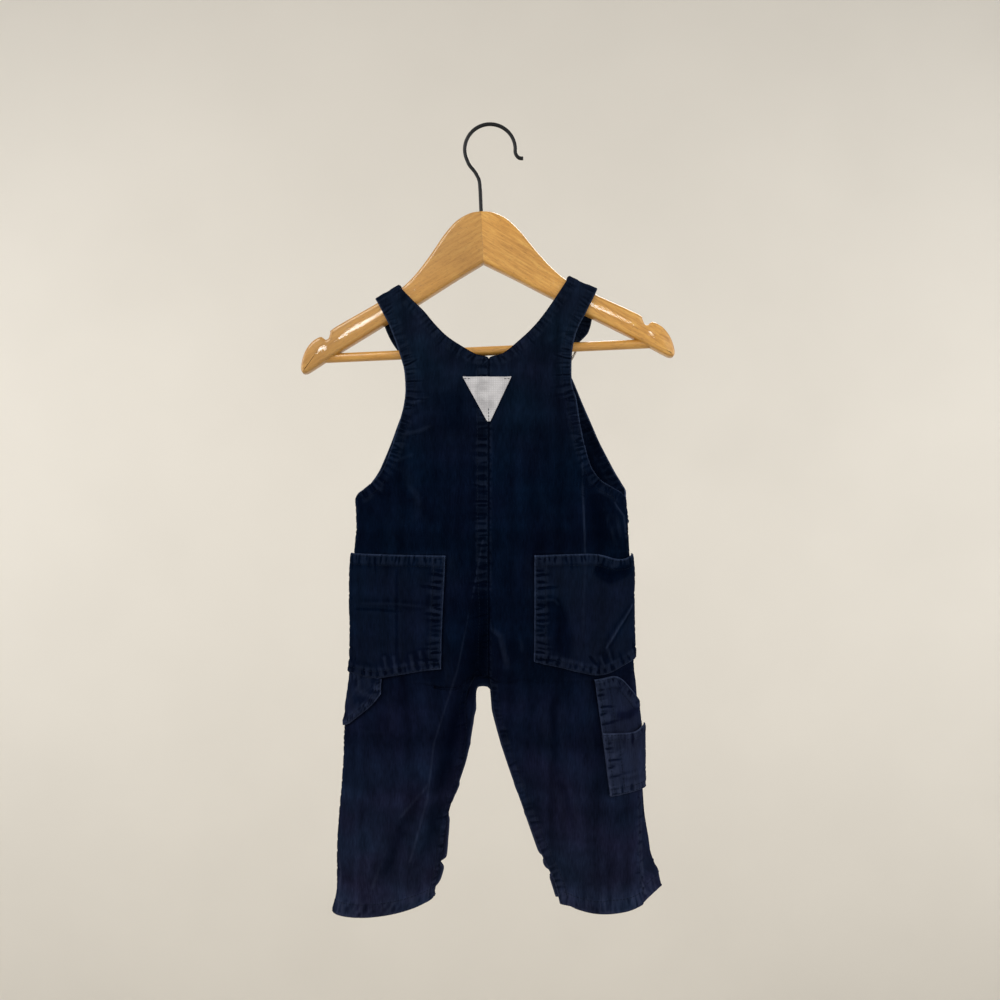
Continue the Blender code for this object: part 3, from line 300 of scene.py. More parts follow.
# Lesser creases, on the shells alone: rows as for the folds. Those on a pocket's own cloth are
# kept under its name.
BACK_CREASES = (
    Fold(-72.1, -136.2, -63.0, -144.7, -53.4, -155.1, -0.7, 1.8, 1.8),
    Fold(-68.1, -231.0, -57.9, -225.0, -46.0, -220.8, 0.8, 2.2, 2.2),
    Fold(-66.4, -239.5, -56.1, -233.1, -46.0, -229.2, -0.7, 2.2, 2.2),
    Fold(-69.8, -251.4, -54.5, -248.0, -41.0, -242.0, 0.8, 2.2, 2.2),
    Fold(-76.7, -273.6, -67.2, -269.6, -57.9, -266.4, 0.7, 2.0, 2.0),
    Fold(44.1, -178.0, 54.2, -172.8, 64.6, -167.7, 0.7, 2.2, 2.2),
    Fold(-65.4, -288.7, -56.7, -297.8, -54.3, -308.4, 0.36, 3.5, 1.6),
    Fold(73.7, -287.1, 74.9, -315.5, 75.6, -344.0, 0.9, 1.4, 1.0),
    Fold(85.7, -297.7, 94.7, -322.8, 101.8, -340.2, 0.9, 2.5, 1.5),
    Fold(100.3, -306.6, 107.4, -315.6, 109.7, -333.2, 0.8, 1.5, 1.2),
    Fold(-1.3, -401.7, 8.9, -409.6, 14.4, -433.1, 1.2, 2.2, 3.4),
    Fold(23.0, -410.5, 25.4, -416.8, 26.7, -423.9, 0.6, 1.8, 1.8),
    Fold(50.7, -461.3, 52.9, -500.7, 56.2, -520.1, -0.9, 1.5, 1.5),
    Fold(55.0, -522.3, 62.5, -537.5, 65.6, -567.6, -0.9, 1.5, 1.5),
    Fold(19.1, -457.2, 17.6, -472.3, 16.8, -484.9, -0.5, 1.6, 1.6),
    Fold(74.8, -606.7, 74.8, -617.0, 75.2, -628.0, -0.8, 1.8, 1.8),
    Fold(95.4, -606.7, 95.4, -617.0, 95.7, -628.0, -0.8, 1.8, 1.8),
)
PATCH_CREASES = {
    "hip_pocket_left": (
        Fold(-104.1, -385.1, -74.1, -384.3, -47.4, -386.4, 0.35, 0.9, 0.9),
        Fold(-107.7, -389.8, -87.5, -389.4, -66.2, -390.6, -0.35, 0.9, 0.9),
        Fold(-72.3, -354.3, -72.1, -397.7, -72.3, -445.2, -0.3, 1.2, 1.2),
        Fold(-82.8, -425.4, -81.2, -432.5, -80.4, -439.6, 1.1, 1.6, 1.6),
        Fold(-74.9, -424.6, -73.3, -433.3, -71.7, -439.6, 1.1, 1.6, 1.6),
        Fold(-61.4, -423.0, -59.9, -430.2, -58.3, -436.5, 1.1, 1.6, 1.6),
        Fold(-54.3, -419.9, -52.7, -427.0, -51.2, -433.3, 1.0, 1.6, 1.6),
    ),
    "hip_pocket_right": (
        Fold(115.7, -386.6, 103.1, -402.6, 92.6, -419.3, 0.9, 1.4, 1.0),
        Fold(83.3, -355.1, 96.0, -363.1, 113.4, -355.9, -1.3, 3.0, 3.0),
        Fold(37.3, -380.2, 50.7, -381.0, 55.5, -385.8, 0.5, 1.2, 1.2),
        Fold(35.7, -398.8, 44.4, -399.2, 48.4, -398.4, 0.7, 1.1, 1.1),
        Fold(37.3, -407.5, 42.8, -405.5, 46.0, -402.3, 0.6, 1.1, 1.1),
        Fold(87.1, -425.4, 90.3, -432.5, 92.7, -438.1, 0.8, 1.2, 1.2),
        Fold(92.7, -418.3, 95.8, -426.2, 98.2, -434.1, 0.7, 1.2, 1.2),
        Fold(70.5, -430.9, 76.1, -435.7, 81.6, -438.8, 0.6, 1.2, 1.2),
        Fold(78.5, -424.6, 83.2, -430.9, 87.9, -435.7, -0.7, 1.2, 1.2),
    ),
    "hammer_loop": (
        Fold(-105.4, -437.8, -104.2, -445.9, -103.0, -453.7, 1.0, 1.1, 1.1),
        Fold(-101.4, -436.2, -93.9, -438.7, -87.0, -444.7, 0.9, 1.1, 1.1),
        Fold(-109.9, -437.8, -108.5, -442.7, -107.0, -447.8, 0.9, 1.0, 1.0),
        Fold(-105.4, -463.7, -97.9, -464.7, -91.9, -464.2, 0.8, 1.1, 1.1),
        Fold(-93.0, -452.7, -90.2, -451.9, -87.0, -452.2, 0.8, 1.0, 1.0),
        Fold(-108.1, -453.1, -100.2, -455.4, -90.7, -460.2, 0.7, 1.4, 1.4),
        Fold(-109.7, -461.0, -101.8, -463.3, -93.1, -462.6, -0.6, 1.4, 1.4),
        Fold(-108.1, -470.5, -101.8, -469.7, -95.4, -467.3, 0.5, 1.4, 1.4),
    ),
    "tool_pocket": (),
    "tool_pocket_pouch": (
        Fold(100.6, -516.3, 108.5, -519.5, 119.6, -517.1, 0.6, 1.4, 1.4),
        Fold(95.1, -506.0, 100.6, -500.5, 108.5, -497.3, 0.5, 1.4, 1.4),
    ),
}
FRONT_CREASES = (
    Fold(-78, -222, -62, -218, -48, -217, 0.8, 2.2, 2.2),
    Fold(-76, -244, -62, -240, -46, -236, -0.7, 2.2, 2.2),
    Fold(76, -228, 62, -222, 50, -220, 0.8, 2.2, 2.2),
    Fold(-80, -276, -70, -292, -60, -308, 0.9, 2.6, 2.0),
    Fold(84, -274, 76, -292, 64, -310, 0.9, 2.0, 2.6),
    Fold(-56, -300, -54, -322, -50, -342, -0.7, 2.2, 2.2),
    Fold(48, -404, 50, -450, 56, -500, -0.8, 1.8, 1.8),
    Fold(56, -512, 60, -550, 66, -590, -0.8, 1.8, 1.8),
    Fold(-70, -440, -76, -500, -80, -560, -0.6, 2.0, 2.0),
    Fold(-52, -604, -53, -614, -54, -624, -0.8, 1.8, 1.8),
    Fold(88, -600, 89, -612, 90, -624, -0.8, 1.8, 1.8),
)
# Painted light and shade, on the back and its pockets: negative heights paint shade in the broad recesses of
# the folds and under the pockets' mouths, the one positive height paints light on a face.
BACK_PAINTED_SHADING = (
    Fold(-3.7, -372.0, -8.4, -405.0, -17.8, -452.1, -0.45, 5.5, 6.0),
    Fold(-17.8, -452.4, -30.4, -491.7, -40.7, -538.9, -0.6, 6.0, 8.0),
    Fold(-40.7, -539.3, -47.8, -570.8, -54.1, -594.4, -0.4, 4.5, 6.0),
    Fold(-66.0, -551.1, -73.0, -574.7, -82.5, -602.3, -0.45, 4.5, 5.0),
    Fold(81.7, -297.4, 86.5, -318.7, 92.8, -340.1, -0.49, 3.5, 5.0),
    Fold(91.5, -302.9, 99.4, -318.8, 105.0, -334.7, 0.08, 5.0, 5.0),
    Fold(-30.6, -214.0, -29.0, -231.8, -29.0, -250.0, -0.42, 12.0, 12.0),
    Fold(-6.0, -447.4, -3.7, -424.6, -2.1, -398.7, -0.38, 4.0, 3.0),
    Fold(76.9, -293.4, 78.1, -315.5, 78.5, -344.0, -0.2, 1.2, 2.4),
    Fold(83.3, -355.9, 96.0, -363.1, 113.4, -356.7, -0.45, 4.0, 4.0),
    Fold(49.0, -378.6, 57.0, -402.3, 60.0, -428.1, -0.11, 9.0, 7.0),
    Fold(99.9, -472.3, 110.2, -473.9, 121.3, -469.1, -0.2, 3.0, 3.0),
    Fold(100.1, -543.0, 99.3, -573.4, 95.3, -607.0, -0.2, 7.0, 9.0),
)

# Lines where the back's folds have rubbed pale: three places, half width and how pale.
Crest = namedtuple("Crest", "x1 z1 x2 z2 x3 z3 width pale")
CREST_FADE = 1.5        # where a line has faded out, as a share of its half width
CRESTS = (
    Crest(-4.4, -334.2, -11.5, -373.4, -24.0, -434.4, 1.0, 0.12),
    Crest(-24.1, -434.9, -35.1, -469.4, -42.9, -493.8, 1.1, 0.11),
    Crest(-43.0, -494.1, -47.7, -536.5, -61.9, -587.7, 1.2, 0.15),
    Crest(-46.2, -524.0, -69.8, -552.3, -91.8, -608.1, 1.6, 0.13),
    Crest(73.7, -249.2, 74.1, -295.0, 75.6, -344.0, 0.9, 0.15),
    Crest(75.5, -347.1, 74.4, -373.9, 73.6, -405.5, 1.2, 0.06),
    Crest(100.3, -305.1, 107.4, -315.6, 109.7, -333.2, 0.9, 0.16),
    Crest(115.7, -386.6, 103.1, -402.6, 92.6, -419.3, 0.9, 0.16),
    Crest(-1.3, -401.7, 8.9, -409.6, 14.4, -433.1, 3.4, 0.06),
    Crest(-67.0, -279.2, -57.5, -296.6, -55.1, -314.8, 7.0, 0.03),
    Crest(-68.1, -231.0, -57.9, -225.0, -46.0, -220.8, 2.8, 0.045),
    Crest(-69.8, -251.4, -54.5, -248.0, -41.0, -242.0, 2.8, 0.045),
    Crest(123.9, -527.1, 121.6, -573.8, 123.9, -616.3, 1.2, 0.12),
    Crest(-121.7, -581.9, -118.9, -602.9, -121.3, -625.4, 1.0, 0.14),
)

# The outer corner of a front's hem turns up where it rolls out past the seam.
HEM_TURN = {"left": 0.0, "right": 10.5}
HEM_TURN_WIDE = 15.0    # past the seam, to the corner
HEM_TURN_TALL = 70.0    # how far up the leg it reaches

# How far the placket's edge peeks out in small puckers, between these heights.
PEEK = {"left": 1.5, "right": 0.5}
PEEK_TOP, PEEK_LOW = -466.0, -562.0
PEEK_FADE = 6           # how far they fade in and out
PEEK_PITCH = 5.5
PEEK_MORE = 0.2         # how much more than half of the edge peeks out
PEEK_SEED = 79

# The front's inseam edge draws in between its snaps: height, reach and how far.
Nick = namedtuple("Nick", "z reach depth")
NICKS = {
    "left": (Nick(-554, 5.0, 3.5), Nick(-596, 2.6, 5.0), Nick(-618, 5.0, 3.5)),
    "right": (Nick(-548, 5.0, 2.0), Nick(-592, 2.6, 3.0), Nick(-604, 2.6, 4.0)),
}

# ---------------------------------------------------------------- finishes

# The cloth's colour from strap to hem, darkest at chest and seat and paler at the straps and hem, its rubbed
# edges, its tints, and the near-black navy that paints shade in its recesses.
CLOTH_TOP, CLOTH_CHEST, CLOTH_SEAT = "101826", "050D1C", "050C1B"
CLOTH_THIGH, CLOTH_HEM = "0D1324", "1C2133"
WORN_TOP, WORN_SEAT, WORN_HEM = "36435A", "34405A", "424860"
DYE_GREENER, DYE_REDDER, SHADE_NAVY = "E4FBFD", "FFEAF5", "010512"
NAP_SHEEN = "5E6C8C"
THREAD_DARK, THREAD_PALE = "080E1A", "131B2A"
LABEL_WHITE, LABEL_SOILED = "C0C0C4", "A4A4A8"
WOOD_DARK, WOOD, WOOD_PALE = "AA772F", "C28D3E", "D1A14F"
# the zinc grey is painted near black, as painted shade: the hook stands in shadow
NICKEL_GREY, ZINC_SHADED_GREY = "8F8C85", "2C2D2F"
WALL_COLOUR, WALL_PATCH = "D4D0C8", "D7D3CB"
CLOTH_Z = (-0.13, -0.64)    # from the top of the straps to the hem, in metres


def colour(code):
    """An sRGB hex colour as linear red, green, blue and alpha."""
    parts = [int(code[k:k + 2], 16) / 255 for k in (0, 2, 4)]
    linear = [c / 12.92 if c <= 0.04045 else ((c + 0.055) / 1.055) ** 2.4 for c in parts]
    return (*linear, 1.0)


def node(tree, kind, inputs=None, stops=(), **settings):
    """Adds a node with its settings, its values, its links and its colour stops."""
    made = tree.nodes.new("ShaderNode" + kind)
    for name, value in settings.items():
        setattr(made, name, value)
    for socket, value in (inputs or {}).items():
        if isinstance(value, bpy.types.NodeSocket):
            tree.links.new(value, made.inputs[socket])
        else:
            made.inputs[socket].default_value = value
    for number, (position, code) in enumerate(stops):
        points = made.color_ramp.elements
        point = points[number] if number < len(points) else points.new(position)
        point.position = position
        point.color = colour(code)
    return made


def finish(name):
    """An empty material and its tree."""
    made = bpy.data.materials.new(name)
    made.use_nodes = True
    made.node_tree.nodes.clear()
    return made, made.node_tree


def washed_needlecord():
    """Cotton needlecord, piece dyed navy and washed many times: a dull short nap, a faint tonal
    check, soft patches of greener and redder blue, pale lines where edges have rubbed, and painted
    shade in its recesses, fold hollows and pucker grooves."""
    made, tree = finish("washed_cotton_needlecord")
    uv = node(tree, "UVMap", uv_map="cloth").outputs["UV"]
    place = node(tree, "TexCoord").outputs["Object"]
    # the attribute holds rubbed wear above zero and painted shade below zero
    wear_and_shade = node(tree, "Attribute", attribute_name="wear_and_shade").outputs["Fac"]
    # the cords are 0.5 mm apart, too fine to show, and are drawn 1.1 mm apart
    cords = node(tree, "Mapping", {"Vector": uv, "Scale": (900, 140, 1)}).outputs["Vector"]
    nap = node(tree, "TexNoise", {
        "Vector": cords, "Scale": 1.0, "Detail": 3.0, "Roughness": 0.6}).outputs["Fac"]
    # wear mottles the cloth in patches of 8 to 20 mm, and its hue in patches of about 50 mm
    blots = node(tree, "Mapping", {"Vector": uv, "Scale": (105, 36, 1)}).outputs["Vector"]
    mottle = node(tree, "TexNoise", {
        "Vector": blots, "Scale": 1.0, "Detail": 4.0, "Roughness": 0.6}).outputs["Fac"]
    patches = node(tree, "TexNoise", {"Vector": uv, "Scale": 22.0, "Detail": 2.0}).outputs["Fac"]
    # the check's bands are 6 to 9 mm wide and about 40 mm apart
    across = node(tree, "SeparateXYZ", {0: uv})
    warp = node(tree, "TexNoise", {
        "W": across.outputs["X"], "Scale": 62.0, "Detail": 1.0}, noise_dimensions="1D").outputs["Fac"]
    weft = node(tree, "TexNoise", {
        "W": across.outputs["Y"], "Scale": 46.0, "Detail": 1.0}, noise_dimensions="1D").outputs["Fac"]
    height = node(tree, "SeparateXYZ", {0: place}).outputs["Z"]
    down = node(tree, "MapRange", {
        "Value": height, "From Min": CLOTH_Z[0], "From Max": CLOTH_Z[1]}).outputs["Result"]
    tone = node(tree, "ValToRGB", {0: down}, (
        (0.0, CLOTH_TOP), (0.3, CLOTH_CHEST), (0.55, CLOTH_SEAT), (0.72, CLOTH_THIGH),
        (1.0, CLOTH_HEM))).outputs["Color"]
    worn = node(tree, "ValToRGB", {0: down}, (
        (0.0, WORN_TOP), (0.5, WORN_SEAT), (1.0, WORN_HEM))).outputs["Color"]
    hue = node(tree, "ValToRGB", {0: patches}, ((0.35, DYE_GREENER), (0.65, DYE_REDDER))).outputs["Color"]
    tone = node(tree, "Mix", {
        0: 1.0, 6: tone, 7: hue}, data_type="RGBA", blend_type="MULTIPLY").outputs[2]
    # each of these darkens the dye to its first share and lightens it to its second
    for part, least, most in (
            (nap, 0.74, 1.28), (mottle, 0.72, 1.32), (warp, 0.72, 1.24), (weft, 0.82, 1.16)):
        amount = node(tree, "MapRange", {
            "Value": part, "From Min": 0.3, "From Max": 0.7,
            "To Min": least, "To Max": most}).outputs["Result"]
        tone = node(tree, "VectorMath", {0: tone, "Scale": amount}, operation="SCALE").outputs["Vector"]
    # painted shade: where the attribute is below zero (recesses, fold hollows, pucker grooves, the neck's
    # edge), the colour is mixed toward a near-black navy
    painted_shade = node(tree, "MapRange", {
        "Value": wear_and_shade, "From Min": 0.0, "From Max": -0.9, "To Min": 0.0, "To Max": 1.0}).outputs["Result"]
    tone = node(tree, "Mix", {0: painted_shade, 6: tone, 7: colour(SHADE_NAVY)}, data_type="RGBA").outputs[2]
    # each crest is a pale line on the back, drawn as the nearer of two straight stretches
    flat = node(tree, "Mapping", {"Vector": place, "Scale": (1, 0, 1)}).outputs["Vector"]
    crests = 0.0
    for crest in CRESTS:
        spots = [Vector((x, 0, z)) * MM for x, z in zip(crest[0:6:2], crest[1:6:2])]
        for start, end in zip(spots, spots[1:]):
            run = end - start
            off = node(tree, "VectorMath", {0: flat, 1: start}, operation="SUBTRACT").outputs["Vector"]
            share = node(tree, "VectorMath", {
                0: off, 1: run / run.length_squared}, operation="DOT_PRODUCT").outputs["Value"]
            share = node(tree, "Clamp", {"Value": share}).outputs["Result"]
            near = node(tree, "VectorMath", {0: run, "Scale": share}, operation="SCALE").outputs["Vector"]
            gap = node(tree, "VectorMath", {0: off, 1: near}, operation="DISTANCE").outputs["Value"]
            line = node(tree, "MapRange", {
                "Value": gap, "From Min": 0.0, "From Max": crest.width * CREST_FADE * MM,
                "To Min": crest.pale, "To Max": 0.0}, interpolation_type="SMOOTHSTEP").outputs["Result"]
            crests = node(tree, "Math", {0: crests, 1: line}, operation="MAXIMUM").outputs["Value"]
    depth = node(tree, "SeparateXYZ", {0: place}).outputs["Y"]
    on_back = node(tree, "MapRange", {
        "Value": depth, "From Min": -0.002, "From Max": 0.001,
        "To Min": 1.0, "To Max": 0.0}).outputs["Result"]
    uneven = node(tree, "MapRange", {
        "Value": mottle, "From Min": 0.3, "From Max": 0.7, "To Min": 0.4, "To Max": 1.4}).outputs["Result"]
    crests = node(tree, "Math", {0: crests, 1: on_back}, operation="MULTIPLY").outputs["Value"]
    wear_and_shade = node(tree, "Math", {0: crests, 1: uneven, 2: wear_and_shade}, operation="MULTIPLY_ADD").outputs["Value"]
    rubbed = node(tree, "MapRange", {
        "Value": nap, "From Min": 0.3, "From Max": 0.7, "To Min": 0.7, "To Max": 1.2}).outputs["Result"]
    rubbed = node(tree, "Math", {
        0: wear_and_shade, 1: rubbed}, operation="MULTIPLY", use_clamp=True).outputs["Value"]
    blended = node(tree, "Mix", {0: rubbed, 6: tone, 7: worn}, data_type="RGBA").outputs[2]
    bump = node(tree, "Bump", {"Height": nap, "Strength": 0.35, "Distance": 0.0004}).outputs["Normal"]
    shader = node(tree, "BsdfPrincipled", {
        "Base Color": blended, "Roughness": 0.94, "Specular IOR Level": 0.0, "Normal": bump,
        "Sheen Weight": 0.004, "Sheen Roughness": 0.4, "Sheen Tint": colour(NAP_SHEEN)})
    node(tree, "OutputMaterial", {"Surface": shader.outputs["BSDF"]})
    return made


def sewing_thread():
    """Spun polyester thread of the cloth's colour, a little paler and smoother than its nap."""
    made, tree = finish("spun_polyester_thread")
    place = node(tree, "TexCoord").outputs["Object"]
    twist = node(tree, "TexNoise", {"Vector": place, "Scale": 900.0, "Detail": 2.0})
    tone = node(tree, "ValToRGB", {
        0: twist.outputs["Fac"]}, ((0.3, THREAD_DARK), (0.7, THREAD_PALE))).outputs["Color"]
    shader = node(tree, "BsdfPrincipled", {
        "Base Color": tone, "Roughness": 0.85, "Specular IOR Level": 0.02})
    node(tree, "OutputMaterial", {"Surface": shader.outputs["BSDF"]})
    return made


def label_weave():
    """White polyester satin label, woven on a narrow loom: fine ribs and soft dirt in them."""
    made, tree = finish("woven_polyester_label")
    uv = node(tree, "UVMap", uv_map="cloth").outputs["UV"]
    # threads lie 0.25 mm apart and are drawn 0.9 mm apart
    warp = node(tree, "TexWave", {"Vector": uv, "Scale": 175.0, "Distortion": 0.4}, bands_direction="X")
    weft = node(tree, "TexWave", {"Vector": uv, "Scale": 175.0, "Distortion": 0.4}, bands_direction="Y")
    both = node(tree, "Math", {
        0: warp.outputs["Fac"], 1: weft.outputs["Fac"]}, operation="MULTIPLY").outputs["Value"]
    soil = node(tree, "TexNoise", {"Vector": uv, "Scale": 90.0, "Detail": 3.0})
    tone = node(tree, "ValToRGB", {
        0: soil.outputs["Fac"]}, ((0.35, LABEL_SOILED), (0.6, LABEL_WHITE))).outputs["Color"]
    gaps = node(tree, "MapRange", {
        "Value": both, "From Max": 0.6, "To Min": 0.86, "To Max": 1.0}).outputs["Result"]
    tone = node(tree, "VectorMath", {0: tone, "Scale": gaps}, operation="SCALE").outputs["Vector"]
    bump = node(tree, "Bump", {"Height": both, "Strength": 0.4, "Distance": 0.0003}).outputs["Normal"]
    shader = node(tree, "BsdfPrincipled", {
        "Base Color": tone, "Roughness": 0.6, "Specular IOR Level": 0.35, "Normal": bump})
    node(tree, "OutputMaterial", {"Surface": shader.outputs["BSDF"]})
    return made


def varnished_beech(name, lean, painted_light, figured):
    """Pale hardwood, planed and clear varnished: straight grain along the piece, short dark
    flecks and an even gloss. lean is the grain's angle in the hanger's plane, the third argument
    a factor on the board's colour that paints the light on it (the left board, lit less, is painted
    darker), and figured how strong its grain."""
    made, tree = finish(name)
    place = node(tree, "TexCoord").outputs["Object"]
    turned = node(tree, "Mapping", {"Vector": place, "Rotation": (0, lean, 0)}).outputs["Vector"]
    grain = node(tree, "Mapping", {"Vector": turned, "Scale": (48, 480, 480)}).outputs["Vector"]
    figure = node(tree, "TexNoise", {
        "Vector": grain, "Scale": 1.0, "Detail": 4.0, "Roughness": 0.55, "Distortion": 0.3})
    # pores are 0.1 mm wide and 1 to 2 mm long, drawn 0.4 mm wide
    flecks = node(tree, "Mapping", {"Vector": turned, "Scale": (260, 1500, 2400)}).outputs["Vector"]
    pores = node(tree, "TexNoise", {"Vector": flecks, "Scale": 1.0, "Detail": 1.0})
    broad = node(tree, "TexNoise", {"Vector": turned, "Scale": 16.0, "Detail": 2.0})
    tone = node(tree, "ValToRGB", {0: figure.outputs["Fac"]}, (
        (0.5 - 0.2 / figured, WOOD_DARK), (0.5, WOOD), (0.5 + 0.2 / figured, WOOD_PALE))).outputs["Color"]
    speck = node(tree, "MapRange", {
        "Value": pores.outputs["Fac"], "From Min": 0.28, "From Max": 0.42,
        "To Min": 0.62, "To Max": 1.0}).outputs["Result"]
    tone = node(tree, "VectorMath", {0: tone, "Scale": speck}, operation="SCALE").outputs["Vector"]
    wide = node(tree, "MapRange", {
        "Value": broad.outputs["Fac"], "From Min": 0.3, "From Max": 0.7,
        "To Min": 0.9 * painted_light, "To Max": 1.08 * painted_light}).outputs["Result"]
    tone = node(tree, "VectorMath", {0: tone, "Scale": wide}, operation="SCALE").outputs["Vector"]
    # the varnish has sunk unevenly, in dimples 3 to 5 mm apart
    sunk = node(tree, "TexNoise", {"Vector": place, "Scale": 260.0, "Detail": 3.0, "Roughness": 0.65})
    bump = node(tree, "Bump", {
        "Height": sunk.outputs["Fac"], "Strength": 0.22, "Distance": 0.0004}).outputs["Normal"]
    shader = node(tree, "BsdfPrincipled", {
        "Base Color": tone, "Roughness": 0.5, "IOR": 1.5, "Normal": bump,
        "Coat Weight": 0.55, "Coat Roughness": 0.04, "Coat Normal": bump})
    node(tree, "OutputMaterial", {"Surface": shader.outputs["BSDF"]})
    return made


def plated_metal(name, tone, rough, scratches):
    """Nickel or zinc plate on steel: an even metal gloss with fine wiping marks. rough is how
    dull it is, and scratches how many marks there are to a metre."""
    made, tree = finish(name)
    place = node(tree, "TexCoord").outputs["Object"]
    marks = node(tree, "TexNoise", {"Vector": place, "Scale": scratches, "Detail": 3.0})
    gloss = node(tree, "MapRange", {
        "Value": marks.outputs["Fac"], "From Min": 0.3, "From Max": 0.7,
        "To Min": rough * 0.8, "To Max": rough * 1.3}).outputs["Result"]
    bump = node(tree, "Bump", {
        "Height": marks.outputs["Fac"], "Strength": 0.08, "Distance": 0.0002}).outputs["Normal"]
    shader = node(tree, "BsdfPrincipled", {
        "Base Color": colour(tone), "Metallic": 1.0, "Roughness": gloss, "Normal": bump})
    node(tree, "OutputMaterial", {"Surface": shader.outputs["BSDF"]})
    return made


def painted_wall():
    """Matt emulsion on plaster, and the same for the floor."""
    made, tree = finish("matt_wall_paint")
    place = node(tree, "TexCoord").outputs["Object"]
    roller = node(tree, "TexNoise", {"Vector": place, "Scale": 3.0, "Detail": 2.0})
    tone = node(tree, "ValToRGB", {
        0: roller.outputs["Fac"]}, ((0.3, WALL_COLOUR), (0.7, WALL_PATCH))).outputs["Color"]
    shader = node(tree, "BsdfPrincipled", {"Base Color": tone, "Roughness": 0.95, "Specular IOR Level": 0.1})
    node(tree, "OutputMaterial", {"Surface": shader.outputs["BSDF"]})
    return made


CORD_NAVY = washed_needlecord()
SEWING_THREAD = sewing_thread()
LABEL_WEAVE = label_weave()
NICKEL = plated_metal("satin_nickel_plate", NICKEL_GREY, 0.27, 400.0)
# a near-black grey: painted shade on a plated wire
ZINC = plated_metal("zinc_plate_painted_dark", ZINC_SHADED_GREY, 0.42, 500.0)

# ---------------------------------------------------------------- arrays

BLOCK = 4000            # points measured at once
HALVINGS = 26           # enough to place a point exactly


def mix(a, b, t):
    """From a at t = 0 to b at t = 1."""
    return a + (b - a) * t


def smooth(low, high, x):
    """From 0 at low to 1 at high, flat at both."""
    t = np.clip((x - low) / (high - low), 0, 1)
    return t * t * (3 - 2 * t)


def ripple(x, seed, pitch):
    """A smooth random line between -1 and 1."""
    table = np.random.default_rng(seed).uniform(-1, 1, 1024)
    k = np.floor(x / pitch).astype(int)
    return mix(table[k % 1024], table[(k + 1) % 1024], smooth(0, 1, x / pitch - k))


def rumple(x, z, seed, pitch_x, pitch_z):
    """A smooth random surface between -1 and 1."""
    table = np.random.default_rng(seed).uniform(-1, 1, (256, 256))
    i, j = np.floor(x / pitch_x).astype(int), np.floor(z / pitch_z).astype(int)
    s, t = smooth(0, 1, x / pitch_x - i), smooth(0, 1, z / pitch_z - j)
    high = mix(table[i % 256, j % 256], table[(i + 1) % 256, j % 256], s)
    low = mix(table[i % 256, (j + 1) % 256], table[(i + 1) % 256, (j + 1) % 256], s)
    return mix(high, low, t)


def length(vectors):
    return np.sqrt((vectors ** 2).sum(-1))


def unit(vectors):
    return vectors / np.maximum(length(vectors), 1e-9)[..., None]


def fold_height(folds, x, z):
    """The sum of the folds at each place, outwards."""
    total = np.zeros(np.shape(x))
    for f in folds:
        best = np.full(total.shape, 1e9)
        side, share = np.zeros(total.shape), np.zeros(total.shape)
        for half, (ax, az, bx, bz) in enumerate(((f.x1, f.z1, f.x2, f.z2), (f.x2, f.z2, f.x3, f.z3))):
            dx, dz = bx - ax, bz - az
            t = np.clip(((x - ax) * dx + (z - az) * dz) / (dx * dx + dz * dz), 0, 1)
            off_x, off_z = x - ax - dx * t, z - az - dz * t
            distance = np.hypot(off_x, off_z)
            nearer = distance < best
            best = np.where(nearer, distance, best)
            side = np.where(nearer, off_x, side)
            share = np.where(nearer, (half + t) / 2, share)
        reach = np.where(side < 0, f.beside, f.beyond)
        total += f.height * (1 - (2 * share - 1) ** 4) * np.exp(-((best / reach) ** 2))
    return total


def blur(a, reach):
    """The mean of a grid over reach places each way."""
    for axis in (0, 1):
        count = a.shape[axis]
        before, after = np.take(a, [0] * (reach + 1), axis), np.take(a, [count - 1] * reach, axis)
        total = np.cumsum(np.concatenate([before, a, after], axis), axis)
        high = np.take(total, range(2 * reach + 1, count + 2 * reach + 1), axis)
        a = (high - np.take(total, range(count), axis)) / (2 * reach + 1)
    return a


def nearest(points, line):
    """How far points are from a line, how far along it, and how far past its ends. They are
    taken in blocks, to save memory."""
    arc = np.concatenate([[0], np.cumsum(length(np.diff(line, axis=0)))])
    tangent = unit(np.gradient(line, axis=0))
    spots = points.reshape(-1, 3)
    square = (line ** 2).sum(1)
    blocks = np.array_split(spots, 1 + len(spots) // BLOCK)
    k = np.concatenate([(square - 2 * block @ line.T).argmin(1) for block in blocks])
    off = spots - line[k]
    run = (off * tangent[k]).sum(1)
    distance = length(off - tangent[k] * run[:, None])
    where = arc[k] + run
    past = np.maximum(0, np.maximum(-where, where - arc[-1]))
    return [a.reshape(points.shape[:-1]) for a in (distance, where, past)]


# ---------------------------------------------------------------- panels

COLUMNS = "inner_x inner_z inner_y outer_x outer_z outer_y swell leg flare sag seam".split()


class Rows:
    """Rows of a panel read at many places at once, an array for each column."""

    def __init__(self, values):
        for number, name in enumerate(COLUMNS):
            setattr(self, name, values[..., number])


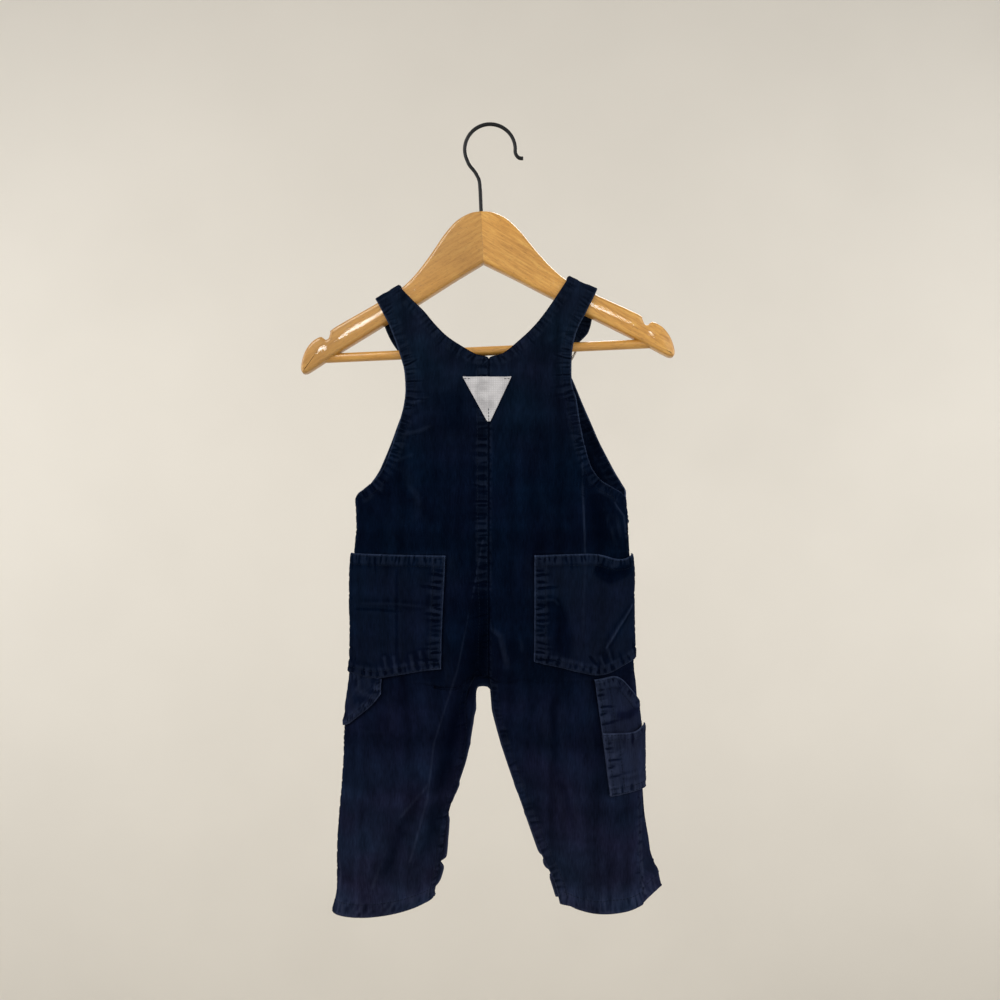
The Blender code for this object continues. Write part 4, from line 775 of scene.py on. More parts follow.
class Panel:
    """Half of the back (facing -1) or of the front (facing 1)."""

    def __init__(self, rows, facing, side, folds, top=0):
        self.rows = np.array(rows, float)
        self.last = len(rows) - 1
        self.facing = facing
        self.sign = -1 if side == "left" else 1
        self.folds = folds
        self.top = top

    def row(self, v):
        """The rows at places v, rounded from one to the next with no overshoot."""
        i = np.clip(np.floor(v).astype(int), 0, self.last - 1)
        t = (v - i)[..., None]
        before, start, end, after = (self.rows[np.clip(i + k, 0, self.last)] for k in (-1, 0, 1, 2))

        def slope(p, q):
            both = np.where(np.abs(p + q) < 1e-12, 1.0, p + q)
            return np.where(p * q <= 0, 0.0, 2 * p * q / both)

        rise = end - start
        m0, m1 = slope(start - before, rise), slope(rise, after - end)
        down, up = start * (1 + 2 * t) + m0 * t, end * (3 - 2 * t) - m1 * (1 - t)
        return Rows(down * (1 - t) ** 2 + up * t * t)

    def share(self, row, u):
        """How far across a row its columns u are."""
        torso = 1 - (1 - u) ** SPREAD
        leg = mix(u, (1 - np.cos(np.pi * u)) / 2, LEG_SPREAD)
        return mix(torso, leg, row.leg)

    def flat(self, v, u):
        """Places on the panel without its folds."""
        v, u = np.broadcast_arrays(np.asarray(v, float), np.asarray(u, float))
        row = self.row(v)
        s = self.share(row, u)
        crown = np.maximum(0, 4 * s * (1 - s))
        near = (1 - s) / FLARE_AT
        x = mix(row.inner_x, row.outer_x, s) + self.sign * row.flare * near * np.exp(1 - near)
        z = mix(row.inner_z, row.outer_z, s) - row.sag * crown
        rounding = np.maximum(0.0, 1 - s ** BODY_ROUND[0]) ** BODY_ROUND[1]
        crowning = crown ** mix(*LEG_ROUND, np.sqrt(np.maximum(0, row.leg)))
        y = mix(row.outer_y, row.inner_y, rounding) + self.facing * row.swell * crowning
        return np.stack([x, y, z], -1)

    def out(self, v, u):
        """The direction out of the cloth."""
        v, u = np.broadcast_arrays(np.asarray(v, float), np.asarray(u, float))
        across = self.flat(v, np.minimum(1, u + 1e-4)) - self.flat(v, np.maximum(0, u - 1e-4))
        down = self.flat(np.minimum(self.last, v + 0.05), u) - self.flat(np.maximum(0, v - 0.05), u)
        normal = unit(np.cross(across, down))
        away = self.flat(v, u) - self.flat(v, np.full_like(u, 0.5)) * (1, 0, 1)
        facing = np.where(u < SIDE_FROM, normal[..., 1] * self.facing, (normal * away).sum(-1))
        normal = normal * np.where(facing < 0, -1, 1)[..., None]
        row = self.row(v)
        normal[..., 0] *= mix(np.minimum(1, u / EDGE_FADE), 1, np.minimum(1, row.leg / LEG_PARTS))
        return unit(normal)

    def point(self, v, u, lift=0.0):
        """Places on the cloth's outer face, or lifted off it."""
        v, u = np.broadcast_arrays(np.asarray(v, float), np.asarray(u, float))
        place = self.flat(v, u)
        row = self.row(v)
        s = self.share(row, u)
        fade = np.minimum(1, (1 - s) / EDGE_FADE) * mix(1, np.minimum(1, s / EDGE_FADE), row.leg)
        raised = lift + fade * fold_height(self.folds, place[..., 0], place[..., 2])
        place = place + self.out(v, u) * raised[..., None]
        seamed = self.facing * np.maximum(self.facing * place[..., 1], self.facing * row.outer_y)
        place[..., 1] = np.where(row.seam > 0.999, seamed, place[..., 1])
        return place

    def halve(self, start, end, above):
        """The places between start and end where above turns false."""
        low, high = start, end
        for _ in range(HALVINGS):
            middle = (low + high) / 2
            yes = above(middle)
            low, high = np.where(yes, middle, low), np.where(yes, high, middle)
        return (low + high) / 2

    def level(self, u, z):
        """The v where the columns u are at heights z."""
        start = np.full(np.shape(z), float(self.top))
        return self.halve(start, np.full_like(start, self.last), lambda v: self.flat(v, u)[..., 2] > z)

    def find(self, x, z):
        """The v and u of places given by x and z."""

        def reach(row):
            return np.clip((x - row.inner_x) / (row.outer_x - row.inner_x), 0, 1)

        def above(v):
            row = self.row(v)
            s = reach(row)
            return mix(row.inner_z, row.outer_z, s) - row.sag * 4 * s * (1 - s) > z

        start = np.full(np.shape(x), float(self.top))
        v = self.halve(start, np.full_like(start, self.last), above)
        row = self.row(v)
        s = reach(row)
        return v, self.halve(np.zeros_like(start), np.ones_like(start), lambda u: self.share(row, u) < s)


def level_rows(levels, facing, side):
    """Rows of a panel from the underarm down."""
    rows = []
    for number, level in enumerate(levels):
        back = facing < 0
        sag = HEM_SAG[side] if number == len(levels) - 1 else 0
        rows.append((
            level.back_x if back else level.front_x, level.inner_z,
            -level.back_y if back else level.front_y,
            level.seam_x, level.seam_z, level.seam_y + facing * SEAM,
            level.back_swell if back else level.front_swell,
            level.leg, 0 if back else level.flare, sag, 1))
    return rows


def yoke_row(y):
    """A row of a panel above the underarm, on the back's side of the hanger."""
    return (y.inner_x, y.inner_z, -y.inner_y, y.outer_x, y.outer_z, -y.outer_y, 0, 0, 0, 0, 0)


YOKES = {"left": YOKE_LEFT, "right": YOKE_RIGHT}
STRAP_FRONTS = {"left": STRAP_FRONT_LEFT, "right": STRAP_FRONT_RIGHT}
LEVELS = {"left": LEVELS_LEFT, "right": LEVELS_RIGHT}
STRAP_ROWS = len(STRAP_FRONT_LEFT) + ARC_STEPS
YOKE_ROWS = len(YOKE_LEFT)


def back_panel(side):
    """Half of the back with its strap, from the strap's free end over the arm to the hem."""
    rows = [yoke_row(y) for y in STRAP_FRONTS[side]]
    edge = YOKES[side][0]
    slope = Vector((edge.outer_x - edge.inner_x, edge.outer_z - edge.inner_z)).normalized()
    rise = Vector((-slope.y, slope.x)) if slope.x > 0 else Vector((slope.y, -slope.x))
    for step in range(ARC_STEPS):
        angle = math.pi * step / ARC_STEPS
        y, lift = STRAP_Y * math.cos(angle), rise * ARM_CLEARANCE * math.sin(angle)
        rows.append((
            edge.inner_x + lift.x, edge.inner_z + lift.y, y,
            edge.outer_x + lift.x, edge.outer_z + lift.y, y, 0, 0, 0, 0, 0))
    rows += [yoke_row(y) for y in YOKES[side]] + level_rows(LEVELS[side], -1, side)
    return Panel(rows, -1, side, BACK_FOLDS, STRAP_ROWS)


def front_panel(side):
    """Half of the bib and the front under it."""
    rows = []
    centre = -SEAM if side == "left" else SEAM
    for b in BIB:
        x, z = (b.left_x, b.left_z) if side == "left" else (b.right_x, b.right_z)
        rows.append((centre, b.centre_z, b.centre_y, x, z, b.side_y, 0, 0, 0, 0, 0))
    return Panel(rows + level_rows(LEVELS[side], 1, side), 1, side, FRONT_FOLDS)


BACK = {side: back_panel(side) for side in SIDES}
FRONT = {side: front_panel(side) for side in SIDES}

# ---------------------------------------------------------------- hems and seams

# A stitched band along an edge. lift is its extra layers, pucker the depth of its puckers and
# pitch their spacing, rows the stitch lines' distances from the edge, worn how pale the edge has
# gone (below zero, how dark it is drawn: painted shade on the neck's rolled edge) and crest how
# pale the cloth between puckers has. Its puckers' grooves get painted shade as well.
Band = namedtuple("Band", "width lift pucker pitch rows worn crest seed")
ARMHOLE_BAND = Band(9.6, 0.25, 1.2, 2.9, (1.7, 7.4), 0.9, 0.06, 11)
# its worn below zero paints shade along the neck's rolled edge
NECK_BAND = Band(8.4, 0.3, 0.9, 3.4, (5.0,), -0.45, 0.05, 23)
STRAP_END_BAND = Band(9.0, 0.4, 0.6, 4.0, (1.7, 8.0), 0.5, 0.08, 29)
CENTRE_BAND = Band(10.2, 0.4, 1.0, 4.4, (1.2, 9.0), -0.3, 0.085, 37)
CENTRE_EDGE = Band(2.4, 0.0, 0.5, 4.4, (), 0.0, 0.05, 39)
SIDE_BAND = Band(4.0, 0.15, 0.6, 4.6, (), 0.4, 0.06, 41)
HEM_BAND = Band(11.5, 0.25, 0.6, 4.2, (10.4,), 0.45, 0.14, 53)
INSEAM_BAND = Band(7.6, 0.3, 0.8, 4.6, (1.7, 7.0), 0.45, 0.08, 67)
WAIST_BAND = Band(6.0, 0.3, 0.6, 4.4, (1.4, 5.4), 0.3, 0.06, 61)
POCKET_TOP_BAND = Band(7.6, 0.3, 0.7, 3.6, (1.7, 8.8), 0.8, 0.06, 71)
POCKET_SIDE_BAND = Band(10.4, 0.3, 1.1, 4.2, (1.4, 8.8), 0.75, 0.09, 83)
POCKET_LOW_BAND = Band(8.4, 0.3, 1.0, 5.0, (1.4, 5.6), 0.75, 0.07, 97)
TOOL_BAND = Band(8.6, 0.3, 0.9, 4.0, (3.2, 12.2), 0.5, 0.12, 101)
POUCH_TOP_BAND = Band(6.0, 0.3, 0.5, 4.2, (1.4, 5.0), 0.6, 0.05, 103)
LOOP_BAND = Band(5.6, 0.3, 0.8, 3.0, (1.4, 4.6), 0.6, 0.1, 107)
PUCKER_KINDS = 512
PUCKER_OFF = 0.42       # how far a groove is from its even place, as a share of the pitch
PUCKER_FAINTEST = 0.08  # share of the full depth
PUCKER_SLANT = 0.12     # how far it runs aside for each millimetre in from the edge
PUCKER_SHORTEST = 0.7   # how far in it runs, as a share of the band's width
PUCKER_START = 0.35     # how far in it starts at most, as such a share
PUCKER_START_FADE = (0.2, 0.1)  # before and after that, where it fades in
PUCKER_NARROW = 0.17    # its half width, as a share of the pitch
PUCKER_BEND = 0.35      # how far it wanders, and over what length
PUCKER_BEND_LONG = 3.5
PUCKER_SHADE = 0.36      # how dark the painted shade in it is
SWOLLEN = 0.35          # how far the cloth between grooves stands out, as a share of their depth
BAND_END = 5.0          # how far a band fades out past the ends of its edge
EDGE_DROP = 0.7         # how far an edge is rounded down, over its last millimetre
EDGE_RUBBED = 0.8       # how far in from the edge it is rubbed pale, or painted dark as shade where worn is below zero
GROOVE_FROM = 1.2       # how far in a groove's painted shade is full
FADE = 0.16             # how much a millimetre of crest pales the cloth
HOLLOW_SHADE = 0.4              # and how much a millimetre of hollow darkens it, as painted shade
CREST_MOST, HOLLOW_MOST = 0.6, -0.5     # millimetres that count
BULGE_REACH = 3         # grid places that a crest is measured over


def band_relief(band, distance, where, past):
    """The height, the wear with any painted edge shade, and the painted shade in the grooves that a band
    gives each place.
    """
    rng = np.random.default_rng(band.seed)
    off = rng.uniform(-PUCKER_OFF, PUCKER_OFF, PUCKER_KINDS)
    power = rng.uniform(PUCKER_FAINTEST, 1.0, PUCKER_KINDS)
    slant = rng.normal(0, PUCKER_SLANT, PUCKER_KINDS)
    reach = PUCKER_SHORTEST + rng.uniform(0, 1, PUCKER_KINDS) ** 3
    start = rng.uniform(0.0, PUCKER_START, PUCKER_KINDS)
    first = np.round(where / band.pitch).astype(int)
    grooves = np.zeros_like(distance)
    for offset in (-1, 0, 1):
        k = (first + offset) % PUCKER_KINDS
        centre = band.pitch * (first + offset + off[k])
        bend = PUCKER_BEND * ripple(distance + 9.0 * k, band.seed + 2, PUCKER_BEND_LONG)
        across = (where - centre - slant[k] * distance - bend) / (band.pitch * PUCKER_NARROW)
        inwards = np.exp(-((distance / (band.width * reach[k])) ** 4))
        low, high = start[k] - PUCKER_START_FADE[0], start[k] + PUCKER_START_FADE[1]
        inwards = inwards * smooth(low, high, distance / band.width)
        grooves = np.maximum(grooves, power[k] * np.exp(-across ** 2) * inwards)
    inside = smooth(band.width * 1.5, band.width * 0.7, distance)
    ends = smooth(BAND_END, 0.0, past)
    layer = band.lift * smooth(band.width + 1.0, band.width - 1.0, distance)
    uneven = 0.6 + 0.4 * ripple(where, band.seed + 3, band.pitch * 1.7)
    swollen = SWOLLEN * (1 - grooves) * inside * uneven
    height = ends * (layer + band.pucker * (swollen - grooves))
    height -= np.where(past > 1.0, 0, EDGE_DROP * np.maximum(0, 1 - distance) ** 2)
    uneven = 0.75 + 0.25 * ripple(where, band.seed + 1, 6)
    # a band whose worn is below zero paints shade along its edge instead of wear
    edge_wear_and_shade = band.worn * np.exp(-((distance / EDGE_RUBBED) ** 2)) * uneven
    patchy = np.clip(0.5 + 0.9 * ripple(where, band.seed + 4, band.pitch * 0.7), 0, 1.4)
    crest_worn = band.crest * (1 - grooves) ** 3 * inside * patchy
    return height, ends * (edge_wear_and_shade + crest_worn), ends * grooves * smooth(0.0, GROOVE_FROM, distance)


def dress(piece, material, slot, *nodes):
    """Gives a piece its material and its body, and hides the solids that it stands for."""
    piece.data.materials.clear()
    piece.data.materials.append(material)
    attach(piece, "root")
    if nodes:
        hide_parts(*nodes)


def soften(piece, width, sharp):
    """Bevels the edges of a piece that turn by more than sharp degrees."""
    apply(
        piece, "BEVEL", width=width * MM, segments=3, limit_method="ANGLE",
        angle_limit=math.radians(sharp))


def only(piece):
    """Selects one piece alone."""
    bpy.ops.object.select_all(action="DESELECT")
    piece.select_set(True)
    bpy.context.view_layer.objects.active = piece


def begin(name, add, **settings):
    """A new piece that starts as one of Blender's primitives."""
    bpy.ops.object.select_all(action="DESELECT")
    add(**settings)
    made = bpy.context.object
    made.name = made.data.name = name
    return made


def link(name, data):
    """A new piece that starts as a mesh or a curve, alone selected."""
    made = bpy.data.objects.new(name, data)
    bpy.context.scene.collection.objects.link(made)
    only(made)
    return made


def outwards(piece, doubles=None):
    """Turns all faces of a closed piece outwards. doubles is how near points are merged first."""
    only(piece)
    bpy.ops.object.mode_set(mode="EDIT")
    bpy.ops.mesh.select_all(action="SELECT")
    if doubles:
        bpy.ops.mesh.remove_doubles(threshold=doubles)
    bpy.ops.mesh.normals_make_consistent(inside=False)
    bpy.ops.object.mode_set(mode="OBJECT")


def apply(piece, kind, **settings):
    """Adds a modifier to a piece and applies it."""
    only(piece)
    made = piece.modifiers.new(kind.lower(), kind)
    for name, value in settings.items():
        setattr(made, name, value)
    bpy.ops.object.modifier_apply(modifier=made.name)


def cloth_grid(name, face, uv, worn, outward, wall=SHELL):
    """A sheet of cloth from the places of its outer face, given its wall inwards."""
    rows, columns = face.shape[:2]
    made = begin(
        name, bpy.ops.mesh.primitive_grid_add, x_subdivisions=columns - 1, y_subdivisions=rows - 1, size=1)
    mesh = made.data
    mesh.vertices.foreach_set("co", (face * MM).ravel())
    corners = np.empty(len(mesh.loops), np.int32)
    mesh.loops.foreach_get("vertex_index", corners)
    mesh.uv_layers[0].name = "cloth"
    mesh.uv_layers["cloth"].data.foreach_set("uv", (uv.reshape(-1, 2)[corners] * MM).ravel())
    # the attribute holds rubbed wear above zero and painted shade below zero
    wear_and_shade = mesh.attributes.new("wear_and_shade", "FLOAT", "POINT")
    wear_and_shade.data.foreach_set("value", np.clip(worn, -1, 1).ravel())
    mesh.update()
    normals = np.empty(len(mesh.polygons) * 3)
    mesh.polygons.foreach_get("normal", normals)
    if (normals.reshape(-1, 3) * outward[:-1, :-1].reshape(-1, 3)).sum() < 0:
        mesh.flip_normals()
    apply(made, "SOLIDIFY", thickness=wall * MM, offset=-1.0)
    made.data.shade_smooth()
    return made


STITCH_PAST = 0.3       # how far a stitch line may run past the ends of its edge
STITCH_FEWEST = 5       # a line with no more places than this is dropped


def lines_at(face, out, distance, past, rows):
    """The lines on a face at given distances from the edge that its first columns follow."""
    lines = []
    for target in rows:
        line = []
        for i in range(face.shape[0]):
            d = distance[i]
            cross = np.nonzero((d[:-1] <= target) & (d[1:] > target))[0]
            if len(cross) == 0 or past[i, cross[0]] > STITCH_PAST:
                lines.append(line)
                line = []
                continue
            k = cross[0]
            t = (target - d[k]) / (d[k + 1] - d[k])
            line.append(np.concatenate([mix(face[i, k], face[i, k + 1], t), out[i, k]]))
        lines.append(line)
    return [np.array(line) for line in lines if len(line) > STITCH_FEWEST]


# A grid turned so that its first columns follow an edge.
TURN = {
    "inner": lambda a: a,
    "outer": lambda a: a[:, ::-1],
    "top": lambda a: a.swapaxes(0, 1),
    "bottom": lambda a: a[::-1].swapaxes(0, 1),
}
STITCHES = []           # lines of stitches, which the pieces leave here as they are made


def sew(name, base, outward, uv, seams, closed, extra=0.0, damp=0.0, pale=0.0):
    """Makes a cloth piece from its base surface with its seams' relief, and keeps its stitch
    lines. seams are (band, edge, first row, last row), closed is where it meets the next panel,
    damp where it lies under a patch, and pale what is added to its wear: the broad painted light
    and shade, and a patch's paler colour. Pucker grooves and hollows are darkened as painted shade."""
    height, worn, groove_shade = (np.zeros(base.shape[:2]) for _ in range(3))
    marks = []
    for band, edge, first, last in seams:
        turn = TURN[edge]
        distance, where, past = nearest(base, turn(base)[first:last, 0])
        rise, rubbed, band_groove_shade = band_relief(band, distance, where, past)
        height += rise
        worn = worn + rubbed
        groove_shade = np.maximum(groove_shade, band_groove_shade * (1 - damp))
        marks.append((turn, distance, past, band.rows))
    height = mix(height, np.minimum(height, 0), damp) + extra
    bulge = height - blur(height, BULGE_REACH)
    # crests pale with wear; hollows and pucker grooves are darkened as painted shade
    worn = worn + FADE * np.clip(bulge, 0, CREST_MOST) + HOLLOW_SHADE * np.clip(bulge, HOLLOW_MOST, 0)
    worn = worn - PUCKER_SHADE * groove_shade
    face = base + outward * height[..., None]
    face[..., 1] = np.where(closed, base[..., 1], face[..., 1])
    for turn, distance, past, rows in marks:
        STITCHES.extend(lines_at(turn(face), turn(outward), turn(distance), turn(past), rows))
    shell = cloth_grid(name + "_shell", face, uv, worn + pale, outward)
    dress(shell, CORD_NAVY, "navy_cotton", name)


def surface_normals(base, facing_out):
    """The directions out of a grid of places."""
    down, across = np.gradient(base, axis=0), np.gradient(base, axis=1)
    normal = unit(np.cross(across, down))
    return normal * np.where((normal * facing_out).sum(-1) < 0, -1, 1)[..., None]


CUT_STEP = 0.86         # between the back's rows
FRONT_STEP = 1.1        # between the front's
OPEN_STEP = 3.1         # between columns away from the edges
DENSE = 13.0            # width beside each edge that has close columns
DENSE_SHARE = 0.36      # the most of a narrow row that it takes
CLOSE = 16              # columns in it
INNER_TURN = 3.0        # how far from the centre seam the way out of a panel is straightened
SEAM_OVERLAP = 0.05     # how far each shell runs past the side seam's plane, so no gap shows
FINE_ROWS = 1501        # places at which lengths are measured, down a panel and across a row
FINE_COLUMNS = 201


def stops_down(panel, start, end, step):
    """Places down a panel, a step apart on its longest line."""
    v = np.linspace(start, end, FINE_ROWS)
    gaps = [length(np.diff(panel.flat(v, np.full_like(v, u)), axis=0)) for u in (0.0, 0.5, 1.0)]
    run = np.concatenate([[0], np.cumsum(np.max(gaps, axis=0))])
    return np.interp(np.linspace(0, run[-1], int(run[-1] / step) + 1), run, v)


def columns_across(panel, v):
    """Each row's columns, close beside the edges and apart in the middle, and how far they are
    from the inner edge."""
    fine = np.linspace(0, 1, FINE_COLUMNS)
    points = panel.flat(v[:, None], fine[None])
    steps = np.cumsum(length(np.diff(points, axis=1)), axis=1)
    arc = np.concatenate([np.zeros((len(v), 1)), steps], axis=1)
    width = arc[:, -1:]
    dense = np.minimum(DENSE, DENSE_SHARE * width)
    beside = np.linspace(0, 1, CLOSE)
    centre = np.linspace(0, 1, int((width.max() - 2 * DENSE) / OPEN_STEP) + 1)[1:-1]
    place = np.concatenate([
        dense * beside, dense + (width - 2 * dense) * centre, width - dense * beside[::-1]], axis=1)
    return np.array([np.interp(p, a, fine) for p, a in zip(place, arc)]), place


def panel_surface(panel, start, end, step):
    """The grid of a panel's face: its places, directions out, cloth coordinates, where it is
    sewn to the panel across the side seam, and v."""
    v = stops_down(panel, start, end, step)
    u, across = columns_across(panel, v)
    v = np.broadcast_to(v[:, None], u.shape)
    base = panel.point(v, u)
    row = panel.row(v)
    at_centre = (np.abs(row.inner_x) <= SEAM + 1e-6) & (row.leg < LEG_PARTS) & (across < 1e-6)
    base[..., 0] = np.where(at_centre, -panel.sign * SEAM, base[..., 0])
    uv = np.stack([row.inner_x + panel.sign * across, panel.flat(v, u)[..., 2]], -1)
    normal = surface_normals(base, panel.out(v, u))
    normal[..., 0] *= mix(smooth(0, INNER_TURN, across), 1, np.minimum(1, row.leg / LEG_PARTS))
    closed = (row.seam > 0.999) & (u > 1 - 1e-9)
    base[..., 1] -= np.where(closed, panel.facing * (SEAM + SEAM_OVERLAP), 0)
    return base, unit(normal), uv, closed, v


# The small unevenness of washed cloth: broad waves and fine ones, their height and spacing.
BROAD_WAVE, BROAD_PITCH = 0.3, (24.0, 40.0)
FINE_WAVE, FINE_PITCH = 0.07, (5.0, 8.0)
FINE_SHIFT = 300        # keeps fine waves apart from another piece's broad ones
WASH_SEEDS = {
    "back_left": 5, "back_right": 6, "front_left": 7, "front_right": 8, "bib": 9,
    "hip_pocket_left": 200, "hip_pocket_right": 201, "hammer_loop": 202, "tool_pocket": 203,
    "tool_pocket_pouch": 204,
}


def washed(name, uv):
    """How far washing has raised or sunk each place of a piece."""
    x, z = uv[..., 0], uv[..., 1]
    seed = WASH_SEEDS[name]
    broad = BROAD_WAVE * rumple(x, z, seed, *BROAD_PITCH)
    return broad + FINE_WAVE * rumple(x + FINE_SHIFT, z, seed + 1, *FINE_PITCH)


def covered(side, x, z):
    """Where a panel of the back lies under a patch, from 0 to 1 across the patch's edges."""
    under = np.zeros(np.shape(x))
    for patch in PATCHES.values():
        if patch.side != side:
            continue
        high, low = max(e.z for e in patch.top), min(e.z for e in patch.bottom)
        edge = mix(patch.top_x, patch.bottom_x, np.clip((high - z) / (high - low), 0, 1))
        inside = smooth(-1.0, 1.5, BACK[side].sign * (x - edge)) * smooth(low - 1, low + 2, z)
        under = np.maximum(under, inside * smooth(high + 1, high - 2, z))
    return under


def painted_shading(base):
    """The painted shade in the back's broad recesses and the painted light on its faces, in broad areas."""
    return fold_height(BACK_PAINTED_SHADING, base[..., 0], base[..., 2])


UNDER_PATCH = 0.2       # how far the cloth under a patch is pressed in
SIDE_CREASES = 5.0      # how far from the side seam creases fade out


def back_shell(side):
    """Half of the back with its strap, leg and hem."""
    name = "back_" + side
    panel = BACK[side]
    base, out, uv, closed, v = panel_surface(panel, 0, panel.last, CUT_STEP)
    underarm = STRAP_ROWS + YOKE_ROWS
    v_point, armhole_end, crotch, hem = (int(n) for n in np.searchsorted(v[:, 0], (
        STRAP_ROWS + V_POINT, underarm - 0.6, underarm + CROTCH_LEVEL - 0.5, panel.last + 1)))
    seams = [
        (NECK_BAND, "inner", 0, v_point),
        (CENTRE_BAND if side == "left" else CENTRE_EDGE, "inner", v_point, crotch),
        (INSEAM_BAND, "inner", crotch, hem),
        (ARMHOLE_BAND, "outer", 0, armhole_end),
        (SIDE_BAND, "outer", armhole_end, hem),
        (HEM_BAND, "bottom", 0, None),
        (STRAP_END_BAND, "top", 0, None),
    ]
    under = covered(side, uv[..., 0], uv[..., 1])
    creased = fold_height(BACK_CREASES, base[..., 0], base[..., 2])
    creased = creased * smooth(0, SIDE_CREASES, length(base - base[:, -1:]))
    rough = (washed(name, uv) + creased) * (1 - under) - UNDER_PATCH * under
    # the broad painted light and shade goes in as its paleness
    sew(name, base, out, uv, seams, closed, rough, under, painted_shading(base))


def nicked(side, z):
    """How far a front's inseam edge is drawn in at heights z."""
    return sum(n.depth * np.exp(-(((z - n.z) / n.reach) ** 2)) for n in NICKS[side])


NICK_WIDE = 14.0        # how far in from the inseam the cloth is drawn with it


def front_shell(side):
    """Half of the trouser front, from the waist seam to the hem."""
    name = "front_" + side
    panel = FRONT[side]
    start = len(BIB) + WAIST_LEVEL
    base, out, uv, closed, v = panel_surface(panel, start, panel.last, FRONT_STEP)
    row = panel.row(v)
    base[..., 2] -= SEAM * (v == v[0, 0])
    corner = np.clip(panel.sign * (base[..., 0] - row.outer_x) / HEM_TURN_WIDE, 0, 1)
    over_hem = base[..., 2] - base[-1:, :, 2]
    base[..., 2] += HEM_TURN[side] * corner * smooth(HEM_TURN_TALL, 0, over_hem)
    by_inseam = smooth(NICK_WIDE, 0, length(base - base[:, :1]))
    base[..., 0] += panel.sign * nicked(side, base[..., 2]) * by_inseam * (row.leg > 0.5)
    crotch = int(np.searchsorted(v[:, 0], len(BIB) + CROTCH_LEVEL - 0.5))
    seams = [
        (CENTRE_BAND if side == "right" else CENTRE_EDGE, "inner", 0, crotch),
        (INSEAM_BAND, "inner", crotch, len(v)),
        (SIDE_BAND, "outer", 0, len(v)),
        (HEM_BAND, "bottom", 0, None),
        (WAIST_BAND, "top", 0, None),
    ]
    rough = washed(name, uv) + fold_height(FRONT_CREASES, base[..., 0], base[..., 2])
    sew(name, base, out, uv, seams, closed, rough)


def bib_shell():
    """The bib in one piece, both halves joined at the middle."""
    halves = [panel_surface(FRONT[side], 0, len(BIB) + WAIST_LEVEL, FRONT_STEP)[:4] for side in SIDES]
    rows = min(len(half[0]) for half in halves)
    picked = []
    for half in halves:
        keep = np.round(np.linspace(0, len(half[0]) - 1, rows)).astype(int)
        picked.append([a[keep] for a in half])
    base, out, uv, closed = (np.concatenate([a[:, ::-1], b[:, 1:]], axis=1) for a, b in zip(*picked))
    middle = picked[0][0].shape[1] - 1
    base[:, middle, 0] = uv[:, middle, 0] = 0.0
    base[-1, :, 2] += SEAM
    seams = [
        (ARMHOLE_BAND, "inner", 0, len(base)),
        (ARMHOLE_BAND, "outer", 0, len(base)),
        (STRAP_END_BAND, "top", 0, None),
        (WAIST_BAND, "bottom", 0, None),
    ]
    rough = washed("bib", uv) + fold_height(FRONT_CREASES, base[..., 0], base[..., 2])
    sew("bib", base, out, uv, seams, closed, rough)


CORNER = 0.12           # how far round an outline's corner its rounding reaches, as a share
CORNER_PLACES = 9


def along(points, share):
    """The z of an outline at shares of the way across, its corners rounded."""
    at, z = [p.share for p in points], [p.z for p in points]
    total = 0
    for offset in np.linspace(-CORNER, CORNER, CORNER_PLACES):
        place = share + offset
        inside = np.clip(place, 0, 1)
        total = total + 2 * np.interp(inside, at, z) - np.interp(2 * inside - place, at, z)
    return total / CORNER_PLACES


# The bands round each patch.
HIP_POCKET_BANDS = {
    "bottom": POCKET_LOW_BAND, "inner": POCKET_SIDE_BAND, "top": POCKET_TOP_BAND, "outer": SIDE_BAND}
PATCH_BANDS = {
    "hip_pocket_left": HIP_POCKET_BANDS,
    "hip_pocket_right": HIP_POCKET_BANDS,
    "hammer_loop": {"inner": LOOP_BAND, "bottom": LOOP_BAND, "outer": SIDE_BAND},
    "tool_pocket": {
        "inner": TOOL_BAND, "top": POCKET_TOP_BAND, "bottom": POCKET_LOW_BAND, "outer": SIDE_BAND},
    "tool_pocket_pouch": {
        "inner": TOOL_BAND, "top": POUCH_TOP_BAND, "bottom": POCKET_LOW_BAND, "outer": SIDE_BAND},
}
# How much paler than the cloth behind it each patch is drawn.
PATCH_PALE = {
    "hip_pocket_left": 0.04, "hip_pocket_right": 0.07, "hammer_loop": 0.09, "tool_pocket": 0.13,
    "tool_pocket_pouch": 0.18,
}
PATCH_STEP = 1.0        # between rows and between columns
PATCH_SPARE = 1.15      # the widest row's width, for its columns, as a share of the mean
PATCH_GAP = 0.15        # added to LAY for the puckers of the cloth behind
MOUTH_ENDS = (0.08, 0.92)   # part of a half wave, so that a mouth's ends stand out a little too
LOOP_TUCK = 0.6         # how far the hammer loop's top is pressed in under the pocket
LOOP_TUCK_TALL = (4.0, 1.0)     # how far from its top that starts, and is full


